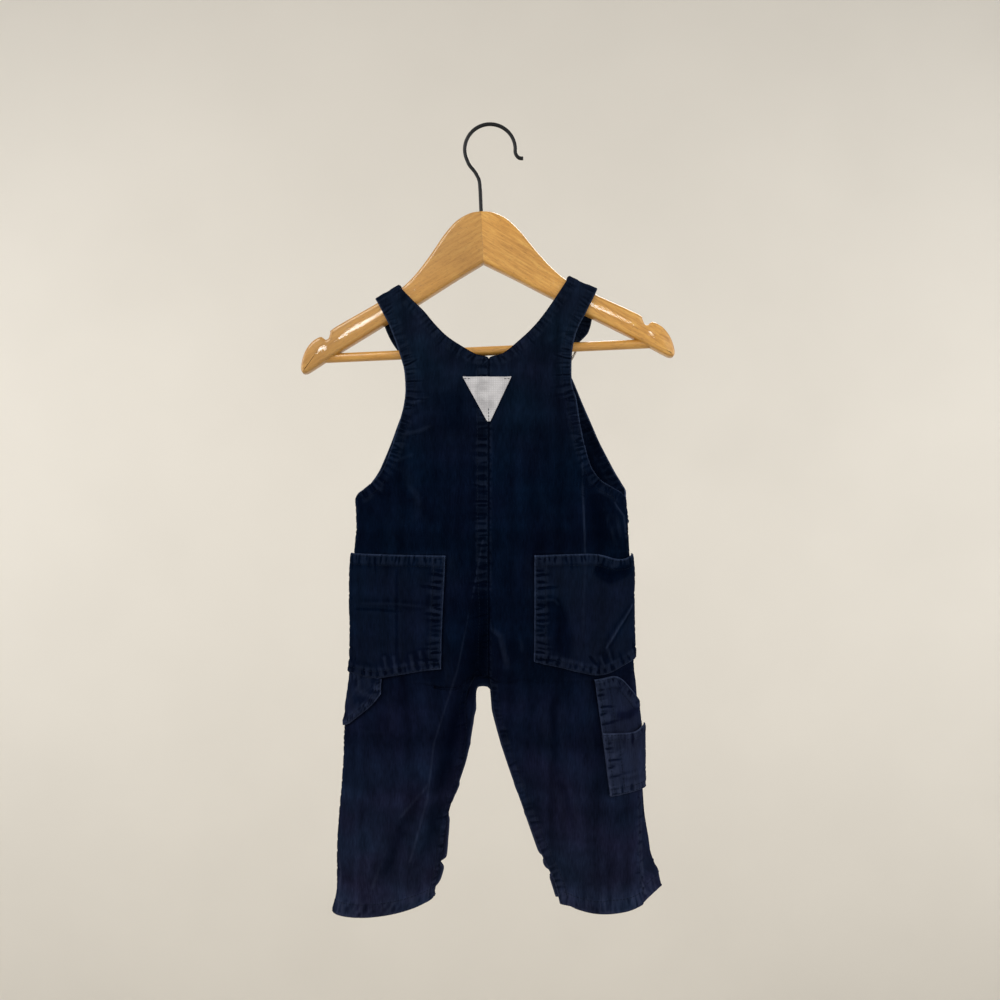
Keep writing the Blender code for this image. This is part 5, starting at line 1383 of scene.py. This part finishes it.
def patch_shell(name):
    """A pocket or loop laid on its panel from an inner edge to the side seam."""
    patch = PATCHES[name]
    panel = BACK[patch.side]
    high, low = patch.top[0].z, patch.bottom[0].z
    tall = high - low
    edge_v, edge_u = panel.find(np.array([patch.top_x, patch.bottom_x]), np.array([high, low]))
    wide = length(panel.flat(edge_v, edge_u) - panel.flat(edge_v, np.ones(2))).mean() * PATCH_SPARE
    down, reach = np.broadcast_arrays(
        np.linspace(0, 1, int(tall / PATCH_STEP) + 2)[:, None],
        np.linspace(0, 1, int(wide / PATCH_STEP) + 2)[None])
    _, first_u = panel.find(mix(patch.top_x, patch.bottom_x, down), mix(high, low, down))
    u = mix(first_u, 1.0, reach)
    z = mix(along(patch.top, reach), along(patch.bottom, reach), down)
    v = panel.level(u, z)
    under = LAY + patch.lap * (LAY + CLOTH)
    stand = patch.mouth * (1 - down) ** 4 * np.sin(np.pi * mix(*MOUTH_ENDS, reach))
    puff = patch.puff * np.sin(np.pi * down) * np.sin(np.pi * reach)
    tucked = LOOP_TUCK * smooth(*LOOP_TUCK_TALL, tall * down) * (name == "hammer_loop")
    base = panel.point(v, u, under + SHELL + PATCH_GAP + stand + puff - tucked)
    out = surface_normals(base, panel.out(v, u))
    across = np.cumsum(length(np.diff(base, axis=1)), axis=1)
    across = np.concatenate([np.zeros((len(base), 1)), across], axis=1)
    uv = np.stack([base[:, :1, 0] + panel.sign * across, base[..., 2]], -1)
    creased = fold_height(PATCH_CREASES[name], base[..., 0], base[..., 2])
    seams = [(band, edge, 0, None) for edge, band in PATCH_BANDS[name].items()]
    free = np.zeros(z.shape, bool)
    # each patch's paler colour, with the broad painted light and shade of the back under it
    pale = PATCH_PALE[name] + painted_shading(base)
    sew(name, base, out, uv, seams, free, washed(name, uv) + creased, pale=pale)


LABEL_ROWS, LABEL_COLUMNS = 44, 48
LABEL_WALL = 0.7
LABEL_LIFT = 0.9        # added to LAY for the puckers of the seams behind
LABEL_ON_SEAM = 0.5     # how far the centre seam's band lifts it, between these places
LABEL_ON_SEAM_FROM, LABEL_ON_SEAM_TO = (-13, -9), (1.5, -0.5)
LABEL_WAVE = 0.12       # height of its waves, and their spacing
LABEL_WAVE_PITCH = 5.0
LABEL_WAVE_SEED = 61
LABEL_RIM_DROP = 0.35   # how far its rim is sewn down, and over what width
LABEL_RIM = 1.2
LABEL_CURL = 0.8        # how far its top corners and tip curl up, and over what length
LABEL_CURL_LONG = 3.0
LABEL_TACK_ROW = 2      # the row that the top corners' stitches lie on
LABEL_TACK = 8          # columns that they run over
LABEL_TIP_TACK = 14     # rows that the tip's stitches run over


def label_shell():
    """The plain woven triangle at the back of the neck."""
    down, reach = np.broadcast_arrays(
        np.linspace(0, 1, LABEL_ROWS)[:, None], np.linspace(-1, 1, LABEL_COLUMNS)[None])
    half = mix(LABEL_HALF, LABEL_TIP_HALF, down)
    x = LABEL_TOP_X * (1 - down) + half * reach
    z = mix(LABEL_TOP, LABEL_BOTTOM, down)
    places, outs = [], []
    for side in SIDES:
        v, u = BACK[side].find(x, z)
        places.append(BACK[side].point(v, u, LAY + LABEL_LIFT))
        outs.append(BACK[side].out(v, u))
    left = (x < 0)[..., None]
    base, out = np.where(left, places[0], places[1]), np.where(left, outs[0], outs[1])
    base[..., 0] = x
    on_seam = LABEL_ON_SEAM * smooth(*LABEL_ON_SEAM_FROM, x) * smooth(*LABEL_ON_SEAM_TO, x)
    wave = LABEL_WAVE * rumple(x, z, LABEL_WAVE_SEED, LABEL_WAVE_PITCH, LABEL_WAVE_PITCH)
    base += out * (on_seam + wave)[..., None]
    rim = np.minimum((1 - np.abs(reach)) * half, (z - LABEL_BOTTOM) + 2)
    base -= out * (LABEL_RIM_DROP * np.maximum(0, 1 - rim / LABEL_RIM))[..., None]
    corner = np.minimum(np.hypot(np.abs(reach) * half - LABEL_HALF, z - LABEL_TOP), z - LABEL_BOTTOM)
    base += out * (LABEL_CURL * np.exp(-((corner / LABEL_CURL_LONG) ** 2)))[..., None]
    tacks = np.concatenate([base, out], -1)
    top = tacks[LABEL_TACK_ROW]
    STITCHES.extend((top[:LABEL_TACK], top[-LABEL_TACK:], tacks[-LABEL_TIP_TACK:, LABEL_COLUMNS // 2]))
    uv = np.stack([x, z], -1)
    shell = cloth_grid("label_shell", base, uv, np.zeros(x.shape), out, LABEL_WALL)
    dress(shell, LABEL_WEAVE, "label_weave", "label")


PLACKET_STEP = 1.2      # between rows of its shell
PLACKET_COLUMNS = 9
PLACKET_ROW_STEP = 0.1  # of a panel's rows, between the places that it follows
PLACKET_WAVE = 0.25     # height of its waves, with their spacing down and across
PLACKET_WAVE_PITCH = (4.5, 6.0)
PLACKET_WAVE_WIDE = 12  # the strip's width on the scale of their spacing
PLACKET_WAVE_SEED = 77
PLACKET_WORN = 0.6      # how pale its edge is rubbed, and over what width
PLACKET_WORN_WIDE = 1.2


def placket_leg(side):
    """The placket's edge and inside down one leg, as x and z of both."""
    panel = FRONT[side]
    for v in np.arange(len(BIB) + PLACKET_FROM, panel.last + 0.01, PLACKET_ROW_STEP):
        row = panel.row(np.array(v))
        z = float(row.inner_z) + (PLACKET_HEM if v >= panel.last else 0)
        x = float(row.inner_x) - panel.sign * PLACKET_SHOWS + panel.sign * float(nicked(side, z))
        peeks = smooth(PEEK_TOP, PEEK_TOP - PEEK_FADE, z) * smooth(PEEK_LOW, PEEK_LOW + PEEK_FADE, z)
        peeks = peeks * np.maximum(0, ripple(np.array(z), PEEK_SEED, PEEK_PITCH) + PEEK_MORE)
        x -= panel.sign * PEEK[side] * float(peeks)
        yield x, z, x + panel.sign * PLACKET_WIDTH, z


def placket_shell():
    """The strip of the snap placket: up one inseam, round the crotch, down the other."""
    left, right = (list(placket_leg(side)) for side in SIDES)
    edges = np.array(left[::-1] + [tuple(a) for a in PLACKET_ARCH] + right)
    arc = np.concatenate([[0], np.cumsum(length(np.diff(edges[:, :2], axis=0)))])
    run = np.linspace(0, arc[-1], int(arc[-1] / PLACKET_STEP))
    edge_x, edge_z, inside_x, inside_z = (np.interp(run, arc, edges[:, k])[:, None] for k in range(4))
    run, reach = np.broadcast_arrays(run[:, None], np.linspace(0, 1, PLACKET_COLUMNS)[None])
    wave = rumple(run, PLACKET_WAVE_WIDE * reach, PLACKET_WAVE_SEED, *PLACKET_WAVE_PITCH)
    depth = PLACKET_WAVE * wave - SHELL / 2
    base = np.stack([mix(edge_x, inside_x, reach), depth, mix(edge_z, inside_z, reach)], -1)
    out = np.broadcast_to(np.array([0.0, -1.0, 0.0]), base.shape)
    across = PLACKET_WIDTH * reach
    worn = PLACKET_WORN * np.exp(-((across / PLACKET_WORN_WIDE) ** 2))
    shell = cloth_grid("inseam_placket_shell", base, np.stack([across, run], -1), worn, out)
    dress(shell, CORD_NAVY, "navy_cotton", "inseam_placket")


STITCH_PITCH = 2.7
STITCH_LONG = 2.0
STITCH_THICK = 0.24     # radius
STITCH_LIFT = 0.1
STITCH_BLUNT = 0.7      # the power that fills out a dash's ends


def stitch_rows(lines):
    """Every thread dash on the cloth, copied from one, as one piece."""
    one = begin("dash", bpy.ops.mesh.primitive_uv_sphere_add, segments=5, ring_count=4, radius=1)
    verts = np.array([v.co for v in one.data.vertices])
    faces = [tuple(p.vertices) for p in one.data.polygons]
    bpy.data.objects.remove(one)
    verts = np.sign(verts) * np.abs(verts) ** (1, 1, STITCH_BLUNT)
    spots, frames = [], []
    for line in lines:
        run = np.concatenate([[0], np.cumsum(length(np.diff(line[:, :3], axis=0)))])
        middles = np.arange(STITCH_PITCH / 2, run[-1] - STITCH_PITCH / 2, STITCH_PITCH)
        if len(middles) == 0:
            continue
        start, middle, end = (
            np.stack([np.interp(middles + k, run, line[:, c]) for c in range(6)], -1)
            for k in (-STITCH_LONG / 2, 0, STITCH_LONG / 2))
        along_line = unit(end[:, :3] - start[:, :3])
        out = unit(middle[:, 3:])
        side = unit(np.cross(along_line, out))
        spots.append((start[:, :3] + end[:, :3]) / 2 + out * STITCH_LIFT)
        frames.append(np.stack([side * STITCH_THICK, out * STITCH_THICK, along_line * STITCH_LONG / 2], 1))
    spots, frames = np.concatenate(spots), np.concatenate(frames)
    co = spots[:, None] + np.einsum("vk,nkc->nvc", verts, frames)
    mesh = bpy.data.meshes.new("stitching")
    every = [tuple(v + n * len(verts) for v in f) for n in range(len(spots)) for f in faces]
    mesh.from_pydata((co.reshape(-1, 3) * MM).tolist(), [], every)
    mesh.shade_smooth()
    made = link("stitching", mesh)
    outwards(made)
    dress(made, SEWING_THREAD, "navy_cotton")

# ---------------------------------------------------------------- fastenings

SNAP_RADIUS = 5.0
SNAP_HEIGHT = 1.6
SNAP_RIM, SNAP_DISH = 1.5, 0.9
SNAP_IN = 9.5           # snap's centre from the front's inseam edge
SNAP_LAY = 0.9          # its foot, over the cloth
SNAP_LEVELS = (-484, -510, -536, -563, -590, -614)
BUTTON_DROP = -201.0
BUTTON_X = {"left": -53.0, "right": 53.5}
BUTTON_CAP_RADIUS = 8.0
BUTTON_SHANK_RADIUS = 3.0
BUTTON_CAP_THICKNESS = 2.4
BUTTON_RIM, BUTTON_DISH = 1.6, 0.5
CAP_SIDES = 32
FACING = 0.9            # least z of the normal of a face that looks up
BUCKLE_WIRE = 1.0
BUCKLE_Y = 14.6
RING_RADIUS = 5.6
RING_OPEN = (140, 400)  # the ring's run round the button, in degrees
RING_POINTS = 14
WIRE_STEP = 1.2
WIRE_ROUND = 4
BUCKLE_SIDE = ((6.4, 10.0), (10.6, 18.0), (12.5, 25.0), (12.5, 29.0), (11.0, 31.0))
BUCKLE_LEAN = {"left": math.radians(20), "right": math.radians(-14)}


def pick_faces(piece, up):
    """Selects the faces of a piece in edit mode that look up (1) or down (-1)."""
    bm = bmesh.from_edit_mesh(piece.data)
    for f in bm.faces:
        f.select_set(f.normal.z * up > FACING)
    bm.select_flush_mode()
    bmesh.update_edit_mesh(piece.data)


def cap(name, radius, thickness, rim, dish):
    """A pressed round cap with a rolled rim and a sunk middle, on +Z."""
    made = begin(
        name, bpy.ops.mesh.primitive_cylinder_add, vertices=CAP_SIDES, radius=radius * MM,
        depth=thickness * MM, location=(0, 0, thickness / 2 * MM))
    bpy.ops.object.transform_apply(location=True)
    bpy.ops.object.mode_set(mode="EDIT")
    bpy.ops.mesh.select_mode(type="FACE")
    pick_faces(made, 1)
    bpy.ops.mesh.inset(thickness=rim * MM)
    bpy.ops.transform.translate(value=(0, 0, -dish * MM))
    bpy.ops.mesh.inset(thickness=rim * 0.6 * MM)
    bpy.ops.mesh.inset(thickness=rim * 0.9 * MM)
    bpy.ops.transform.translate(value=(0, 0, dish * 0.5 * MM))
    bpy.ops.object.mode_set(mode="OBJECT")
    soften(made, rim * 0.3, 30)
    made.data.shade_smooth()
    return made


def set_at(piece, place, normal):
    """Turns a piece's own +Z to a direction and sets it at a place."""
    turn = Vector(normal).to_track_quat("Z", "Y").to_matrix().to_4x4()
    piece.data.transform(Matrix.Translation(Vector(place) * MM) @ turn)


def copy_to(piece, name, place, normal):
    """A copy of a piece, its own mesh turned to a direction and set at a place."""
    made = piece.copy()
    made.data = piece.data.copy()
    made.name = made.data.name = name
    bpy.context.scene.collection.objects.link(made)
    set_at(made, place, normal)
    return made


def snaps():
    """Ring snaps down both fronts' inseams."""
    one = cap("snap", SNAP_RADIUS, SNAP_HEIGHT, SNAP_RIM, SNAP_DISH)
    z = np.array(SNAP_LEVELS, float)
    for side in SIDES:
        panel = FRONT[side]
        edge_v = panel.level(np.zeros_like(z), z)
        v, u = panel.find(panel.row(edge_v).inner_x + panel.sign * SNAP_IN, z)
        places, outs = panel.point(v, u, SNAP_LAY), panel.point(v, u, 1.0) - panel.point(v, u)
        for number, (place, out) in enumerate(zip(places, outs), start=1):
            name = f"snap_{side}_{number}"
            made = copy_to(one, name + "_cap", place, out)
            dress(made, NICKEL, "buckle_metal", name)
    bpy.data.objects.remove(one)


def smooth_path(points, step, cyclic=False):
    """A path through points, rounded, with a point every step."""
    points = np.array(points, float)
    if cyclic:
        points = np.concatenate([points[-2:], points, points[:3]])
    else:
        points = np.concatenate([2 * points[:1] - points[1:2], points, 2 * points[-1:] - points[-2:-1]])
    made = []
    first, last = (2, len(points) - 3) if cyclic else (1, len(points) - 2)
    for i in range(first, last):
        p0, p1, p2, p3 = points[i - 1:i + 3]
        count = max(2, int(length(p2 - p1) / step))
        for t in np.arange(count) / count:
            made.append(0.5 * (
                2 * p1 + (p2 - p0) * t + (2 * p0 - 5 * p1 + 4 * p2 - p3) * t * t
                + (3 * p1 - p0 - 3 * p2 + p3) * t ** 3))
    if not cyclic:
        made.append(points[last])
    return np.array(made)


def bent_wire(name, points, radius, cyclic=False):
    """A round wire along points, its ends closed."""
    curve = bpy.data.curves.new(name, "CURVE")
    curve.dimensions = "3D"
    curve.bevel_depth = radius * MM
    curve.bevel_resolution = WIRE_ROUND
    curve.use_fill_caps = not cyclic
    spline = curve.splines.new("POLY")
    spline.points.add(len(points) - 1)
    for spot, p in zip(spline.points, points):
        spot.co = (p[0] * MM, p[1] * MM, p[2] * MM, 1)
    spline.use_cyclic_u = cyclic
    link(name, curve)
    bpy.ops.object.convert(target="MESH")
    made = bpy.context.object
    outwards(made, doubles=1e-6)
    made.data.shade_smooth()
    return made


def fastening(side):
    """The strap's wire buckle and the bib button that it hooks over."""
    x, z = BUTTON_X[side], BUTTON_DROP
    button_y = BUCKLE_Y + BUCKLE_WIRE + LAY
    button = cap(
        "bib_button_" + side + "_cap", BUTTON_CAP_RADIUS, BUTTON_CAP_THICKNESS, BUTTON_RIM, BUTTON_DISH)
    v, u = FRONT[side].find(np.array([x]), np.array([z]))
    seat = FRONT[side].point(v, u)[0]
    bpy.ops.object.mode_set(mode="EDIT")
    pick_faces(button, -1)
    bpy.ops.mesh.inset(thickness=(BUTTON_CAP_RADIUS - BUTTON_SHANK_RADIUS) * MM)
    bpy.ops.transform.translate(value=(0, 0, -(button_y - seat[1] - LAY) * MM))
    bpy.ops.object.mode_set(mode="OBJECT")
    set_at(button, (x, button_y, z), (0, 1, 0))
    dress(button, NICKEL, "buckle_metal", "bib_button_" + side)
    angles = np.radians(np.linspace(*RING_OPEN, RING_POINTS))
    outline = [(RING_RADIUS * math.cos(a), RING_RADIUS * math.sin(a)) for a in angles]
    outline += list(BUCKLE_SIDE) + [(-bx, bz) for bx, bz in reversed(BUCKLE_SIDE)]
    turned = [Matrix.Rotation(BUCKLE_LEAN[side], 2) @ Vector(spot) for spot in outline]
    path = smooth_path([(x + p.x, BUCKLE_Y, z + p.y) for p in turned], WIRE_STEP, cyclic=True)
    buckle = bent_wire("buckle_" + side + "_wire", path, BUCKLE_WIRE, cyclic=True)
    dress(buckle, NICKEL, "buckle_metal", "buckle_" + side)


# ---------------------------------------------------------------- hanger, in its own frame

HANGER_TILT = math.radians(2.6)
HANGER_X = -9.5         # its middle from the peg
BOARD = 12.0
BOARD_EDGE = 3.0
MITRE = 0.03            # between each board and the mitre's plane
OUTLINE_STEP = 2.0
ARM_TOP = (
    (0, -69.8), (9, -71.0), (20, -76.6), (30, -86.6), (38, -97.2), (46, -107.6), (54, -117.0),
    (64, -126.6), (76, -134.2), (90, -141.6), (122.6, -158.4),
)
ARM_NOTCH = ((125.8, -162.0), (127.4, -166.6), (130.2, -167.4), (133.4, -165.0))
ARM_END = (
    (139.6, -167.8), (144.8, -173.0), (148.8, -180.6), (150.8, -189.0), (150.0, -192.8),
    (146.8, -193.8),
)
ARM_UNDER = (
    (133.4, -186.2), (121, -179.0), (84.6, -158.8), (51.5, -140.4), (24, -124.6), (0, -111.5),
)
BAR_RADIUS = 3.75
BAR_Z = -182.0
BAR_HALF = 135.5
BAR_EDGE = 0.8
WIRE_RADIUS = 1.5
LOOP_RADIUS = 20.5
LOOP_X = 9.5
SHAFT_BOTTOM = -84.0
HOOK_NECK = ((0, SHAFT_BOTTOM), (0, -66), (0, -50), (-0.6, -43), (-3.6, -36.6), (-7.6, -31.2))
HOOK_ROUND = (202, -8)  # the hook's run over the peg, in degrees
HOOK_POINTS = 25
HOOK_STEP = 1.5
HOOK_TIP = ((30.6, -24.6), (32.8, -27.0), (36.0, -27.4))


def lean(piece):
    """Tilts a piece of the hanger about the peg."""
    piece.data.transform(Matrix.Rotation(-HANGER_TILT, 4, "Y"))


def rounded(piece):
    """Shades a wooden piece smooth but for its sharp edges."""
    only(piece)
    bpy.ops.object.shade_smooth_by_angle(angle=math.radians(40))


def hanger_arm(side):
    """A mitred board, its long edges rounded over."""
    sign = -1 if side == "left" else 1
    flat = [(x, 0, z) for x, z in ARM_TOP + ARM_NOTCH + ARM_END + ARM_UNDER]
    outline = smooth_path(flat, OUTLINE_STEP)[:, [0, 2]]
    outline[:, 0] = np.maximum(outline[:, 0], MITRE)
    made = begin(
        f"hanger_arm_{side}_board", bpy.ops.mesh.primitive_circle_add, vertices=len(outline), radius=0.1,
        fill_type="NGON")
    for vert, (x, z) in zip(made.data.vertices, outline):
        vert.co = ((sign * x + HANGER_X) * MM, -BOARD / 2 * MM, z * MM)
    bpy.ops.object.mode_set(mode="EDIT")
    bpy.ops.mesh.select_all(action="SELECT")
    bpy.ops.mesh.extrude_region_move(TRANSFORM_OT_translate={"value": (0, BOARD * MM, 0)})
    bpy.ops.mesh.select_all(action="SELECT")
    bpy.ops.mesh.normals_make_consistent(inside=False)
    bpy.ops.mesh.select_mode(type="EDGE")
    bm = bmesh.from_edit_mesh(made.data)
    for e in bm.edges:
        rim = abs(e.verts[0].co.y - e.verts[1].co.y) < 1e-5
        on_mitre = all(abs(v.co.x - HANGER_X * MM) < 0.3 * MM for v in e.verts)
        e.select_set(rim and not on_mitre)
    bmesh.update_edit_mesh(made.data)
    bpy.ops.mesh.bevel(offset=BOARD_EDGE * MM, segments=4, clamp_overlap=False)
    bpy.ops.object.mode_set(mode="OBJECT")
    made.data.shade_smooth()
    rounded(made)
    lean(made)
    dress(made, BEECH[side], "hanger_wood", "hanger_arm_" + side)


def hanger_bar():
    """The round rail between the arms' ends."""
    made = begin(
        "hanger_bar_dowel", bpy.ops.mesh.primitive_cylinder_add, vertices=40, radius=BAR_RADIUS * MM,
        depth=2 * BAR_HALF * MM, location=(HANGER_X * MM, 0, BAR_Z * MM),
        rotation=(0, math.radians(90), 0))
    bpy.ops.object.transform_apply(location=True, rotation=True)
    soften(made, BAR_EDGE, 50)
    rounded(made)
    lean(made)
    dress(made, BEECH["bar"], "hanger_wood", "hanger_bar")


def hanger_hook():
    """The hook, bent from one wire, its shaft sunk in the wood."""
    middle = WIRE_RADIUS - LOOP_RADIUS
    angles = np.radians(np.linspace(*HOOK_ROUND, HOOK_POINTS))
    path = list(HOOK_NECK)
    path += [(LOOP_X + LOOP_RADIUS * math.cos(a), middle + LOOP_RADIUS * math.sin(a)) for a in angles]
    path += list(HOOK_TIP)
    wire = smooth_path([(x + HANGER_X, 0, z) for x, z in path], HOOK_STEP)
    made = bent_wire("hanger_hook_wire", wire, WIRE_RADIUS)
    lean(made)
    dress(made, ZINC, "hanger_wire", "hanger_hook")


# the third values paint light and shade into the boards' colours: the left board is drawn darker as painted
# shade
BEECH = {
    "left": varnished_beech("varnished_beech_left", math.radians(31), 0.8, 0.6),
    "right": varnished_beech("varnished_beech_right", math.radians(-31), 1.03, 1.0),
    "bar": varnished_beech("varnished_beech_dowel", 0.0, 0.96, 0.6),
}

# ---------------------------------------------------------------- putting it together

# Cuts: what shows of each piece laid flat, its width and length in millimetres, the share of that
# rectangle that it fills, and what it hangs from.
Cut = namedtuple("Cut", "width length share hangs_from")
CUTS = {
    "back_left": Cut(118, 608, 0.69, ("hanger_arm_left_board",)),
    "back_right": Cut(125, 603, 0.66, ("hanger_arm_right_board",)),
    "bib": Cut(223, 152, 0.71, ("buckle_left_wire", "buckle_right_wire")),
    "front_left": Cut(117, 315, 0.92, ("bib_shell",)),
    "front_right": Cut(127, 314, 0.93, ("bib_shell",)),
    "inseam_placket": Cut(11.5, 380, 1.0, ("front_left_shell", "front_right_shell")),
    "hip_pocket_left": Cut(88, 99, 0.94, ("back_left_shell",)),
    "hip_pocket_right": Cut(94, 98, 0.9, ("back_right_shell",)),
    "hammer_loop": Cut(51, 42, 0.53, ("back_left_shell",)),
    "tool_pocket": Cut(50, 92, 0.73, ("back_right_shell",)),
    "tool_pocket_pouch": Cut(45, 54, 0.83, ("back_right_shell",)),
    "label": Cut(39, 36, 0.55, ("back_left_shell", "back_right_shell")),
}


def declare_cuts():
    """Reads what each cloth piece's cut hangs from, and keeps nothing."""
    for name, cut in CUTS.items():
        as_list(cut.hangs_from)


def set_up():
    """Camera, lamps, wall and floor."""
    bpy.ops.object.camera_add(location=CAMERA, rotation=(math.radians(90), 0, 0))
    camera = bpy.context.object
    camera.data.lens = LENS
    camera.data.sensor_width = SENSOR
    camera.data.clip_start = NEAREST_SEEN
    scene = bpy.context.scene
    scene.camera = camera
    scene.view_settings.view_transform = "Standard"
    for name, place, target, size, power, tint in LAMPS:
        bpy.ops.object.light_add(type="AREA", location=place)
        lamp = bpy.context.object
        lamp.name = name
        lamp.data.size = size
        lamp.data.energy = power
        lamp.data.color = colour(tint)[:3]
        lamp.visible_camera = False
        lamp.rotation_euler = (Vector(target) - Vector(place)).to_track_quat("-Z", "Y").to_euler()
    world = bpy.data.worlds.new("studio")
    world.use_nodes = True
    world.node_tree.nodes["Background"].inputs["Color"].default_value = colour(ROOM_COLOUR)
    world.node_tree.nodes["Background"].inputs["Strength"].default_value = ROOM_LIGHT
    scene.world = world
    paint = painted_wall()
    for name, place, tilt in (("wall", (0, WALL_Y, 0), math.radians(90)), ("floor", (0, 0, FLOOR_Z), 0)):
        plane = begin(
            name, bpy.ops.mesh.primitive_plane_add, size=PLANE_SIZE, location=place, rotation=(tilt, 0, 0))
        plane.data.materials.append(paint)


def main():
    set_up()
    for side in SIDES:
        back_shell(side)
        front_shell(side)
        fastening(side)
        hanger_arm(side)
    bib_shell()
    for name in PATCHES:
        patch_shell(name)
    label_shell()
    placket_shell()
    snaps()
    hanger_bar()
    hanger_hook()
    stitch_rows(STITCHES)
    declare_cuts()


main()
